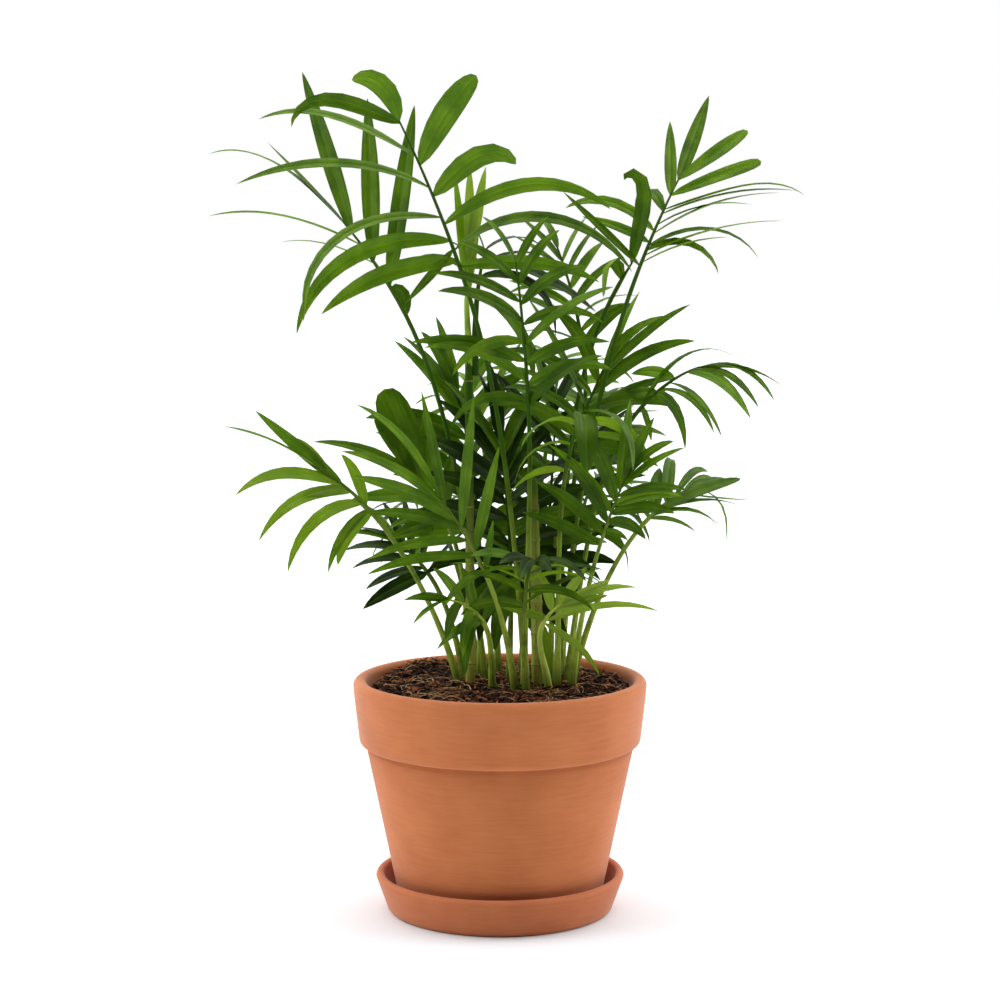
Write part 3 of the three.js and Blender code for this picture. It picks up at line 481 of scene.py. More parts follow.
# ---------------------------------------------------------------- making pieces
class Skin:
    """Collects tubes and blades, each skinned over rings of points, into one mesh."""

    def __init__(self) -> None:
        """Starts with nothing collected."""
        self.points: list[np.ndarray] = []
        self.faces: list[tuple[int, ...]] = []
        self.slots: list[int] = []
        self.places: list[tuple[float, float]] = []  # one for each corner of each face, in metres
        self.count = 0

    def add(
        self,
        rings: np.ndarray,
        along: Sequence[float],
        across: np.ndarray,
        slots: Sequence[int],
        tip: Optional[np.ndarray] = None,
    ) -> None:
        """Skins rings of equal count, closed at both ends.

        Args:
            rings: Points as [ring, corner, xyz]. The corners go clockwise seen from the last ring.
            along: Metres along the shape, for each ring and for the tip if there is one.
            across: Metres across the shape as [ring, corner], with one corner more than a ring has.
            slots: Material slot of each strip between two neighbouring corners.
            tip: The point that the last ring closes to, or None for a flat end.
        """
        count, sides, _ = rings.shape
        first = self.count
        self.points.append(rings.reshape(-1, 3))
        self.count += count * sides

        def corner(ring: int, side: int) -> int:
            """Gives the number of a ring's corner, which the last side joins to the first."""
            return first + ring * sides + side % sides

        for i in range(count - 1):
            for j in range(sides):
                self.faces.append((corner(i, j), corner(i + 1, j), corner(i + 1, j + 1), corner(i, j + 1)))
                self.slots.append(slots[j])
                for ring, side in ((i, j), (i + 1, j), (i + 1, j + 1), (i, j + 1)):
                    self.places.append((along[ring], across[ring, side]))
        self.faces.append(tuple(corner(0, j) for j in range(sides)))
        self.slots.append(slots[0])
        self.places.extend((along[0], across[0, j]) for j in range(sides))
        last = count - 1
        if tip is None:
            self.faces.append(tuple(corner(last, j) for j in reversed(range(sides))))
            self.slots.append(slots[0])
            self.places.extend((along[last], across[last, j]) for j in reversed(range(sides)))
            return
        self.points.append(tip.reshape(1, 3))
        peak = self.count
        self.count += 1
        for j in range(sides):
            self.faces.append((corner(last, j), peak, corner(last, j + 1)))
            self.slots.append(slots[j])
            self.places.append((along[last], across[last, j]))
            self.places.append((along[-1], 0.0))
            self.places.append((along[last], across[last, j + 1]))

    def tube(
        self,
        centres: np.ndarray,
        directions: np.ndarray,
        radii: Sequence[float],
        sides: int,
        slot: int = 0,
    ) -> None:
        """Adds a round tube with flat ends.

        Args:
            centres: Points along its axis, in metres.
            directions: Unit direction of the axis at each.
            radii: Radius at each, in metres.
            sides: Corners of its section.
            slot: Its material slot.
        """
        reach = np.array(radii)[:, None, None]
        first = np.cross(ACROSS, directions)
        first /= np.linalg.norm(first, axis=1)[:, None]
        second = np.cross(directions, first)
        angles = -ROUND * np.arange(sides)[None, :, None] / sides
        ring = np.cos(angles) * first[:, None, :] + np.sin(angles) * second[:, None, :]
        steps = np.linalg.norm(np.diff(centres, axis=0), axis=1)
        along = np.concatenate([[0.0], np.cumsum(steps)])
        across = np.outer(np.array(radii), ROUND * np.arange(sides + 1) / sides)
        self.add(centres[:, None, :] + reach * ring, along, across, [slot] * sides)

    def piece(
        self, name: str, finishes: Sequence[bpy.types.Material], crease: Optional[float] = 30
    ) -> bpy.types.Object:
        """Makes the collected shapes one object.

        Args:
            name: The object's name.
            finishes: Its materials, in the order of the slots.
            crease: Angle in degrees past which an edge stays sharp, or None for flat faces.

        Returns:
            The object.
        """
        mesh = bpy.data.meshes.new(name)
        mesh.from_pydata(np.concatenate(self.points).tolist(), [], self.faces)
        for finish in finishes:
            mesh.materials.append(finish)
        mesh.polygons.foreach_set("material_index", self.slots)
        layer = mesh.uv_layers.new(name="blade")
        layer.data.foreach_set("uv", np.array(self.places, dtype=np.float32).ravel())
        mesh.polygons.foreach_set("use_smooth", [crease is not None] * len(self.faces))
        if crease is not None:
            mesh.set_sharp_from_angle(angle=math.radians(crease))
        mesh.update()
        made = bpy.data.objects.new(name, mesh)
        bpy.context.scene.collection.objects.link(made)
        return made


SAME_PLACE = 0.001 * MM  # corners nearer than this are one
SOFTEST_EDGE = 40  # degrees between two faces of clay past which their edge stays sharp


def arc(centre: tuple[float, float], radius: float, start: float, end: float, steps: int) -> Profile:
    """Points of a round stretch of an outline.

    Args:
        centre: Its centre as (radius, height).
        radius: Its own radius.
        start: Angle of its first point, in degrees from straight out.
        end: Angle of its last point.
        steps: Stretches between them.

    Returns:
        The points.
    """
    angles = [math.radians(start + (end - start) * i / steps) for i in range(steps + 1)]
    return [(centre[0] + radius * math.cos(a), centre[1] + radius * math.sin(a)) for a in angles]


def raised(name: str, outline: Profile, sides: int, hole: bool) -> bpy.types.Object:
    """Draws up a round body ring by ring, as clay rises on a wheel.

    Args:
        name: The object's name.
        outline: Radius and height of each ring in millimetres, from the foot's centre round to the inside.
        sides: Facets round the body.
        hole: True where the outline goes round a hole and ends where it began.

    Returns:
        The object, closed and shaded smooth.
    """
    bpy.ops.object.select_all(action="DESELECT")
    radius, height = outline[0]
    bpy.ops.mesh.primitive_circle_add(
        vertices=sides,
        radius=radius * MM,
        location=(0, 0, height * MM),
        fill_type="NOTHING" if hole else "NGON",
    )
    body = bpy.context.object
    body.name = name
    body.data.name = name
    bpy.ops.object.transform_apply(location=True, rotation=True, scale=True)
    bpy.ops.object.mode_set(mode="EDIT")
    bpy.ops.mesh.select_all(action="SELECT")
    for next_radius, next_height in outline[1:]:
        rise = (0, 0, (next_height - height) * MM)
        bpy.ops.mesh.extrude_region_move(TRANSFORM_OT_translate={"value": rise})
        share = next_radius / radius
        bpy.ops.transform.resize(value=(share, share, 1), center_override=(0, 0, next_height * MM))
        radius, height = next_radius, next_height
    bpy.ops.mesh.select_all(action="SELECT")
    bpy.ops.mesh.remove_doubles(threshold=SAME_PLACE)
    bpy.ops.mesh.normals_make_consistent(inside=False)
    bpy.ops.object.mode_set(mode="OBJECT")
    bpy.ops.object.shade_smooth_by_angle(angle=math.radians(SOFTEST_EDGE))
    return body


def dressed(
    piece: bpy.types.Object,
    nodes: Sequence[str],
    finish: Optional[bpy.types.Material] = None,
) -> None:
    """Gives a finished piece its material and body, and hides the frame's nodes that it stands for.

    Args:
        piece: The object.
        nodes: The frame's nodes that it replaces; none where another piece does.
        finish: Its material, unless it has some already.
    """
    if finish is not None:
        piece.data.materials.clear()
        piece.data.materials.append(finish)
    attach(piece, BODY)
    if nodes:
        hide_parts(*nodes)
    log.info("%s: %d faces", piece.name, len(piece.data.polygons))


# ---------------------------------------------------------------- pot, saucer and compost
@dataclass
class ClaySaucer:
    """The thrown saucer: a flat floor, a wall that leans out, and a rounded lip."""

    foot_radius: float = 59
    base_radius: float = 62.3
    lip_radius: float = 68
    height: float = 21
    floor: float = 6
    lip_thickness: float = 4.6
    underside_radius: float = 58  # of the ring inside its foot's edge
    floor_radius: float = 52.3  # of the ring where its floor is flat
    cove_centre: float = 55.7  # radius at which the round corner of its floor is struck
    cove: float = 4
    sides: int = 144

    def outline(self) -> Profile:
        """Draws its section, from the edge of its flat underside up and over to its floor.

        Returns:
            The points of its outline.
        """
        lip = self.lip_thickness / 2
        bend = self.base_radius - self.foot_radius
        return [
            (self.underside_radius, 0),
            *arc((self.foot_radius, bend), bend, start=-90, end=-12, steps=8),
            *arc((self.lip_radius - lip, self.height - lip), lip, start=0, end=180, steps=14),
            *arc((self.cove_centre, self.floor + self.cove), self.cove, start=-10, end=-90, steps=8),
            (self.floor_radius, self.floor),
        ]

    def build(self) -> None:
        """Throws the saucer and dresses it."""
        saucer = raised("thrown_saucer", self.outline(), self.sides, hole=False)
        dressed(saucer, ["saucer"], finished(SAUCER_CLAY))


@dataclass
class ClayPot:
    """The thrown pot: a tapering body under a deep collar with a rounded rim."""

    foot: float = 6.3
    rim_radius: float = 80
    top: float = 128
    collar_foot: float = 96
    collar_foot_radius: float = 76.9
    shoulder: float = 91.7
    body_radius: float = 73
    base_radius: float = 55.9
    wall: float = 7.4
    floor: float = 8
    drain_radius: float = 9
    base_rounding: float = 2
    cove: float = 6  # where the inner wall meets the floor
    cove_flare: float = 1.5
    groove: float = 1.2  # cut into the body under the collar
    groove_height: float = 1.6
    collar_gap: float = 0.2  # of the collar's underside above its shoulder
    collar_rounding: float = 3.4
    rim_ease: float = 0.45  # how far in the collar's wall ends under the lip
    rim_ease_height: float = 6
    sides: int = 144

    def inside(self) -> Profile:
        """Lists the points where its inner wall bends, from the floor up.

        Returns:
            The points.
        """
        return [
            (self.base_radius - self.wall - self.cove, self.foot + self.floor),
            (self.base_radius - self.wall + self.cove_flare, self.foot + self.floor + self.cove),
            (self.body_radius - self.wall, self.shoulder),
            (self.collar_foot_radius - self.wall, self.collar_foot),
            (self.rim_radius - self.wall, self.top - self.wall / 2),
        ]

    def outline(self) -> Profile:
        """Draws its section, from the drain hole out, up the outside, over the rim and down the inside.

        Returns:
            The points of its outline, ending where they began.
        """
        lip = self.wall / 2
        base = (self.base_radius - self.base_rounding, self.foot + self.base_rounding)
        collar = self.shoulder + self.collar_gap
        collar_edge = (self.collar_foot_radius - self.collar_rounding, collar + self.collar_rounding)
        return [
            (self.drain_radius, self.foot),
            *arc(base, self.base_rounding, start=-90, end=-8, steps=6),
            (self.body_radius - self.groove / 3, self.shoulder - 2 * self.groove_height),
            (self.body_radius - self.groove, self.shoulder - self.groove_height),
            (self.body_radius - self.groove, collar),
            *arc(collar_edge, self.collar_rounding, start=-86, end=-5, steps=8),
            (self.rim_radius - self.rim_ease, self.top - lip - self.rim_ease_height),
            *arc((self.rim_radius - lip, self.top - lip), lip, start=0, end=180, steps=18),
            *reversed(self.inside()[:-1]),
            (self.drain_radius, self.foot + self.floor),
            (self.drain_radius, self.foot),
        ]

    def build(self) -> None:
        """Throws the pot and dresses it."""
        pot = raised("thrown_pot", self.outline(), self.sides, hole=True)
        dressed(pot, ["pot"], finished(POT_CLAY))


# Along a shred from end to end: places as shares of its length, each with the share of its breadth there.
SHRED_OUTLINE = ((-0.5, 0.35), (-0.2, 1.0), (0.2, 0.9), (0.5, 0.3))


@dataclass
class CompostBed:
    """The compost: a lumpy bed under loose shreds of bark and fibre."""

    pot: ClayPot
    level: float = 124.2
    edge_level: float = 120.5
    fall: int = 6  # power of the radius by which it falls to its edge
    mounds: tuple[Row, ...] = ((-42, 40, 5.5, 360), (52, 20, 2.0, 300))  # place, height and spread in mm2
    sides: int = 120
    rings: int = 26
    lumps: float = 2.2
    lump_size: float = 9
    finer: float = 2.3  # how many times finer the small lumps are, which are half as high
    lump_fall: int = 10  # power of the radius by which the lumps die out at the wall
    kinds: tuple[tuple[str, int, BarkCompost, float], ...] = (  # name, count, finish and longest length
        ("dark_bark_shreds", 1300, DARK_BARK, 9),
        ("brown_bark_shreds", 866, BROWN_BARK, 10),
        ("red_bark_shreds", 185, RED_BARK, 11),
        ("bark_crumbs", 1500, DARK_BARK, 4),
    )
    shortest: float = 2.2  # of the shreds
    usual: float = 4  # length of most
    breadths: tuple[float, float] = (0.9, 2.3)
    thicknesses: tuple[float, float] = (0.4, 1.1)
    lifts: tuple[float, float] = (-0.4, 2.0)
    dip: float = 0.3  # radians that a shred lies off level along its length
    lean: float = 0.5  # and across it
    bow: float = 0.12  # share of its length
    uneven: tuple[float, float] = (0.8, 1.2)  # what its breadth is multiplied by from place to place
    shred_margin: float = 0.5  # mm that its ends stay from the bed's edge
    fibres: int = 150
    fibre_lengths: tuple[float, float] = (7, 18)
    fibre_radii: tuple[float, float] = (0.12, 0.3)
    curl: float = 0.3  # share of a fibre's length
    humps: tuple[float, float] = (0.2, 2.2)
    fibre_lift: float = 1.2
    fibre_margin: float = 2  # mm that its ends stay from the bed's edge
    fibre_points: int = 8
    fibre_seed: int = 50
    seed: int = 41

    def edge(self) -> float:
        """Gives the radius at which the bed meets the pot's wall."""
        return self.pot.inside()[-1][0] - 2 * CLEARANCE

    def height(self, x: float, y: float) -> float:
        """Gives the bed's height at a place, before its lumps.

        Args:
            x: Millimetres to the right.
            y: Millimetres back.

        Returns:
            Its height in millimetres.
        """
        share = min(math.hypot(x, y) / self.edge(), 1)
        level = self.level + (self.edge_level - self.level) * share**self.fall
        for right, back, high, spread in self.mounds:
            level += high * math.exp(-((x - right) ** 2 + (y - back) ** 2) / spread)
        return level

    def bed(self) -> bpy.types.Object:
        """Raises the bed inside the pot, lays its top out in rings and makes it lumpy.

        Returns:
            The bed.
        """
        inside = [(radius - CLEARANCE, height) for radius, height in self.pot.inside()[:-1]]
        inside[0] = (inside[0][0], inside[0][1] + CLEARANCE)
        edge = self.edge()
        top = [(edge * (1 - i / self.rings), self.edge_level) for i in range(self.rings)]
        body = raised("compost_bed", inside + top, self.sides, hole=False)
        random_place = Vector((self.seed, 0, 0))
        under_top = (self.edge_level - CLEARANCE) * MM
        for vertex in body.data.vertices:
            if vertex.co.z < under_top:
                continue
            x, y = vertex.co.x / MM, vertex.co.y / MM
            inner = 1 - (math.hypot(x, y) / edge) ** self.lump_fall
            place = Vector((x, y, 0)) / self.lump_size + random_place
            lump = self.lumps * (smooth_noise(place) + smooth_noise(self.finer * place) / 2)
            vertex.co.z = (self.height(x, y) + lump * inner) * MM
        return body

    def spot(self, draw: random.Random, margin: float) -> tuple[float, float]:
        """Draws a place on the bed.

        Args:
            draw: The source of the place.
            margin: How far it stays from the edge, in millimetres.

        Returns:
            Millimetres to the right and back.
        """
        reach = (self.edge() - margin) * math.sqrt(draw.random())
        bearing = draw.uniform(0, ROUND)
        return reach * math.cos(bearing), reach * math.sin(bearing)

    def scrap(self, skin: Skin, draw: random.Random, size: Triple, lift: float) -> None:
        """Drops one split shred on the bed.

        Args:
            skin: What it is added to.
            draw: The source of its place and turn.
            size: Its length, breadth and thickness in millimetres.
            lift: Its height above the bed.
        """
        length, breadth, depth = size
        x, y = self.spot(draw, length / 2 + self.shred_margin)
        turn, dip, roll = draw.uniform(0, ROUND), draw.gauss(0, self.dip), draw.gauss(0, self.lean)
        forward = np.array([math.cos(turn) * math.cos(dip), math.sin(turn) * math.cos(dip), math.sin(dip)])
        side = np.cross(UP, forward)
        side /= np.linalg.norm(side)
        top = np.cross(forward, side)
        side, top = math.cos(roll) * side + math.sin(roll) * top, math.cos(roll) * top - math.sin(roll) * side
        centre = np.array([x, y, self.height(x, y) + lift])
        bow = draw.uniform(-self.bow, self.bow) * length
        rings = []
        for t, share in SHRED_OUTLINE:
            middle = centre + t * length * forward + bow * (1 - 4 * t * t) * side
            wide = breadth / 2 * share * draw.uniform(*self.uneven)
            thick = depth / 2 * (1 + share) / 2  # it thins half as much as it narrows
            rings.append(
                [middle - wide * side, middle + thick * top, middle + wide * side, middle - thick * top]
            )
        places = [(t - SHRED_OUTLINE[0][0]) * length * MM for t, _ in SHRED_OUTLINE]
        across = np.tile(np.array([-breadth, 0, breadth, 0, -breadth]) / 2 * MM, (len(places), 1))
        skin.add(np.array(rings) * MM, places, across, [0] * 4)

    def litter(self, name: str, count: int, finish: BarkCompost, longest: float, seed: int) -> None:
        """Scatters shreds of one kind.

        Args:
            name: The piece's name.
            count: How many.
            finish: What they are made of.
            longest: The longest one, in millimetres.
            seed: Starts the draw.
        """
        draw = random.Random(seed)
        skin = Skin()
        for _ in range(count):
            length = draw.triangular(self.shortest, longest, self.usual)
            breadth, thickness = draw.uniform(*self.breadths), draw.uniform(*self.thicknesses)
            self.scrap(skin, draw, (length, breadth, thickness), draw.uniform(*self.lifts))
        dressed(skin.piece(name, [finished(finish)], crease=None), [])

    def strands(self) -> None:
        """Scatters pale curled fibres."""
        draw = random.Random(self.fibre_seed)
        skin = Skin()
        steps = np.linspace(-0.5, 0.5, self.fibre_points)
        arch = 1 - 4 * steps**2  # none at the ends, all in the middle
        for _ in range(self.fibres):
            length = draw.uniform(*self.fibre_lengths)
            x, y = self.spot(draw, length / 2 + self.fibre_margin)
            turn = draw.uniform(0, ROUND)
            curl, hump = draw.uniform(-self.curl, self.curl), draw.uniform(*self.humps)
            bend = curl * length * arch
            xs = x + steps * length * math.cos(turn) - bend * math.sin(turn)
            ys = y + steps * length * math.sin(turn) + bend * math.cos(turn)
            base = self.height(x, y) + self.fibre_lift
            centres = np.stack([xs, ys, base + hump * arch], axis=1) * MM
            directions = np.gradient(centres, axis=0)
            directions /= np.linalg.norm(directions, axis=1)[:, None]
            radii = np.full(len(steps), draw.uniform(*self.fibre_radii)) * MM
            skin.tube(centres, directions, radii, sides=4)
        dressed(skin.piece("coir_strands", [finished(COIR)]), [])

    def build(self) -> None:
        """Fills the pot and scatters the litter."""
        dressed(self.bed(), ["compost"], finished(SOIL))
        for i, (name, count, finish, longest) in enumerate(self.kinds, start=1):
            self.litter(name, count, finish, longest, self.seed + i)
        self.strands()


# ---------------------------------------------------------------- stems
SUNK = 8  # mm that a stem runs on below the soil


@dataclass(frozen=True)
class Curve:
    """A cubic curve through space, from its first knot to its last."""

    knots: tuple[np.ndarray, np.ndarray, np.ndarray, np.ndarray]

    def point(self, t: float) -> np.ndarray:
        """Gives a point of the curve.

        Args:
            t: Its place along the curve, from 0 to 1.

        Returns:
            The point.
        """
        a, b, c, d = self.knots
        s = 1 - t
        return s**3 * a + 3 * s * s * t * b + 3 * s * t * t * c + t**3 * d

    def tangent(self, t: float) -> np.ndarray:
        """Gives the direction of the curve at a place.

        Args:
            t: The place along the curve, from 0 to 1.

        Returns:
            The unit direction.
        """
        a, b, c, d = self.knots
        s = 1 - t
        return unit(s * s * (b - a) + 2 * s * t * (c - b) + t * t * (d - c))


def unit(vector: np.ndarray) -> np.ndarray:
    """Gives the vector at a length of 1."""
    return vector / np.linalg.norm(vector)


def turned(vector: np.ndarray, axis: np.ndarray, angle: float) -> np.ndarray:
    """Turns a vector about a unit axis by an angle in radians."""
    cos, sin = math.cos(angle), math.sin(angle)
    return cos * vector + sin * np.cross(axis, vector) + (1 - cos) * np.dot(axis, vector) * axis


def reaching(start: np.ndarray, end: np.ndarray, leave: np.ndarray, arrive: np.ndarray) -> Curve:
    """Draws a curve between two points that leaves and arrives in given directions.

    Args:
        start: Its first point.
        end: Its last.
        leave: Unit direction at the first.
        arrive: Unit direction at the last.

    Returns:
        The curve.
    """
    third = np.linalg.norm(end - start) / 3
    return Curve((start, start + third * leave, end - third * arrive, end))


@dataclass
class RingedCane:
    """A bare cane: slim, green and ringed where old leaves have fallen."""

    name: str
    foot: tuple[float, float]
    top: tuple[float, float, float]
    foot_radius: float
    top_radius: float
    ring_spacing: float = 17
    swelling: float = 0.35
    swelling_reach: float = 1.3  # to each side of a ring
    scar: float = 0.35  # to each side of a ring
    scar_height: float = 0.06
    scar_edge: float = 0.1  # how deep the scar's edges sink into the cane
    crown: Row = (0.94, 0.8, 0.5, 0.15)  # shares of its radius at the steps of its rounded top
    crown_step: float = 0.5
    sides: int = 20
    steps: int = 150

    def radius(self, z: float, t: float) -> float:
        """Gives its radius at a height, swollen at each ring.

        Args:
            z: The height in millimetres.
            t: The same height as a share of the way from its foot to its top.

        Returns:
            The radius in millimetres.
        """
        from_ring = abs((z / self.ring_spacing + 0.5) % 1 - 0.5) * self.ring_spacing
        taper = self.foot_radius + (self.top_radius - self.foot_radius) * t
        return taper + self.swelling * math.exp(-((from_ring / self.swelling_reach) ** 2))

    def build(self) -> None:
        """Builds the cane with its scars and dresses it."""
        low = np.array([*self.foot, SOIL_LEVEL - SUNK])
        high = np.array(self.top, float)
        lean = unit(high - low)
        skin = Skin()
        shares = np.linspace(0, 1, self.steps)
        centres = low + shares[:, None] * (high - low)
        radii = [self.radius(z, t) for z, t in zip(centres[:, 2], shares)]
        rounded = np.array([high + lean * self.crown_step * (i + 1) for i in range(len(self.crown))])
        centres = np.concatenate([centres, rounded]) * MM
        radii = np.array(radii + [radii[-1] * share for share in self.crown]) * MM
        skin.tube(centres, np.tile(lean, (len(centres), 1)), radii, self.sides)
        rings = range(int(SOIL_LEVEL / self.ring_spacing) + 1, int(self.top[2] / self.ring_spacing) + 1)
        for ring in rings:
            t = (ring * self.ring_spacing - low[2]) / (high[2] - low[2])
            middle = low + t * (high - low)
            radius = self.radius(middle[2], t)
            edge = radius - self.scar_edge
            band = np.array([middle - self.scar * lean, middle, middle + self.scar * lean]) * MM
            widths = np.array([edge, radius + self.scar_height, edge]) * MM
            skin.tube(band, np.tile(lean, (3, 1)), widths, self.sides, slot=1)
        piece = skin.piece(self.name + "_ringed", [finished(CANE_SKIN), finished(SCAR)])
        dressed(piece, [self.name])
        log.info("%s: %d rings", self.name, len(rings))


# ---------------------------------------------------------------- fronds
WORD = 0xFFFFFFFF  # keeps a sum or a product to 32 bits
STEP = 0x6D2B79F5  # from one number of a draw to the next


@dataclass(frozen=True)
class Stray:
    """How far a leaflet may stray from its row: angles in degrees, the others as shares."""

    opening: float = 6
    lift: float = 8
    length: float = 0.08
    width: float = 0.12
    droop: float = 0.25
    twist: float = 18
    roll: float = 14


STRAY = Stray()


class Spread:
    """Seeded random numbers, drawn as the frame's source draws them."""

    def __init__(self, seed: int) -> None:
        """Starts the draw."""
        self.state = seed & WORD

    def __call__(self, width: float) -> float:
        """Draws the next number.

        Args:
            width: How far it may be from 0.

        Returns:
            A number between -width and +width.
        """
        self.state = (self.state + STEP) & WORD
        # The shifts and factors carry every bit of the state into the number.
        mixed = ((self.state ^ (self.state >> 15)) * (self.state | 1)) & WORD
        mixed ^= (mixed + (((mixed ^ (mixed >> 7)) * (mixed | 61)) & WORD)) & WORD
        return (2 * (mixed ^ (mixed >> 14)) / 2**32 - 1) * width


def along(values: Sequence[float], g: float) -> float:
    """Gives the value at g on the line through values that are evenly spaced from 0 to 1."""
    return float(np.interp(g * (len(values) - 1), range(len(values)), values))


@dataclass(frozen=True)
class Half:
    """One half of a frond's blade: `count` leaflets along `span` of its rachis.

    Each of its other sizes is a row of values, evenly spaced from the half's foot to its tip: the leaflets'
    place along the rachis, from 0 to 1, their opening angle from it, their length, their droop, how far
    they are rolled to look up, their width as a share of the frond's, how blunt their tips are, from 0 to
    1, and how late along their length they droop.
    """

    count: int
    span: Row
    opening: Row
    size: Row
    droop: Row
    roll: Row = (0,)
    wide: Row = (1,)
    blunt: Row = (0,)
    late: Row = (1.7,)


@dataclass
class Leaflet:
    """One leaflet of a frond, lance-shaped and bending down towards its tip. Its angles are radians."""

    root: np.ndarray
    forward: np.ndarray
    up: np.ndarray
    outward: np.ndarray
    opening: float
    lift: float
    length: float
    width: float
    droop: float
    twist: float
    roll: float
    blunt: float
    late: float
    phase: float
    root_width: float = 0.1
    rise: float = 0.56  # how its width grows from its root, and falls to its tip
    fall: float = 0.82
    blunting: float = 0.5
    hanging: float = 0.05  # radians from straight down at which it bends no further
    fold: float = 0.22  # slope of its two sides up from the midrib, at the root
    fold_loss: float = 0.6  # share of it that is gone at the tip
    bulge: float = 0.11
    ripple: float = 0.05
    ripples: float = 7  # radians of the ripple along it
    keel: float = 0.44  # mm that its lower side stands down under the midrib, at the root
    keel_loss: float = 0.28  # mm of it that is gone at the tip
    step: float = 6.5
    fewest_steps: int = 8
    most_steps: int = 16
    columns: Row = (-1, -0.5, 0, 0.5, 1)

    def share_of_width(self, t: float) -> float:
        """Gives how wide it is at a place along it.

        Args:
            t: The place, from its root (0) to its tip (1).

        Returns:
            The share of its full width.
        """
        rise, fall = self.rise, self.fall - self.blunting * self.blunt
        peak = rise / (rise + fall)
        shape = t**rise * (1 - t) ** fall / (peak**rise * (1 - peak) ** fall)
        return max(shape, self.root_width * (1 - t))

    def grow(self, skin: Skin, slots: tuple[int, int]) -> None:
        """Adds its blade to a skin.

        Args:
            skin: What it is added to.
            slots: Material slots of its upper and its lower side.
        """
        away = math.cos(self.lift) * self.outward + math.sin(self.lift) * self.up
        top = math.cos(self.lift) * self.up - math.sin(self.lift) * self.outward
        start = math.cos(self.opening) * self.forward + math.sin(self.opening) * away
        across = turned(unit(np.cross(top, start)), start, self.roll)
        hinge = unit(np.cross(start, DOWN))
        to_hanging = max(math.acos(np.clip(np.dot(start, DOWN), -1, 1)) - self.hanging, 0)

        count = int(np.clip(round(self.length / self.step), self.fewest_steps, self.most_steps))
        even = np.arange(count + 1) / count
        eased = (even + (1 - np.cos(math.pi * even)) / 2) / 2  # closer together at both ends
        stations = 1 - (1 - eased) ** (1 + self.blunt / 2)  # and closer yet at a blunt tip
        shares = np.array([*self.columns, 0])
        rings, places, before = [], [], start
        centre = self.root.copy()
        for i, t in enumerate(stations):
            bend = min(self.droop * t**self.late, to_hanging)
            direction = turned(start, hinge, bend)
            side = turned(turned(across, hinge, bend), direction, self.twist * t)
            if i:
                centre = centre + unit(direction + before) * self.length * (t - stations[i - 1])
            before = direction
            if i == count:
                break
            face = np.cross(direction, side)
            reach = self.width / 2 * self.share_of_width(t)
            steep = self.fold * (1 - self.fold_loss * t)
            slope = steep * np.abs(shares) + 4 * self.bulge * np.abs(shares) * (1 - np.abs(shares))
            slope += self.ripple * shares * math.sin(self.phase + self.ripples * t)
            heights = reach * slope
            heights[-1] = self.keel_loss * t - self.keel
            rings.append(centre + reach * shares[:, None] * side + heights[:, None] * face)
            places.append(reach * np.array([*shares, shares[0]]))
        skin.add(
            np.array(rings) * MM,
            list(stations * self.length * MM),
            np.array(places) * MM,
            [slots[0]] * (len(self.columns) - 1) + [slots[1]] * 2,  # two strips meet at the keel below
            tip=centre * MM,
        )


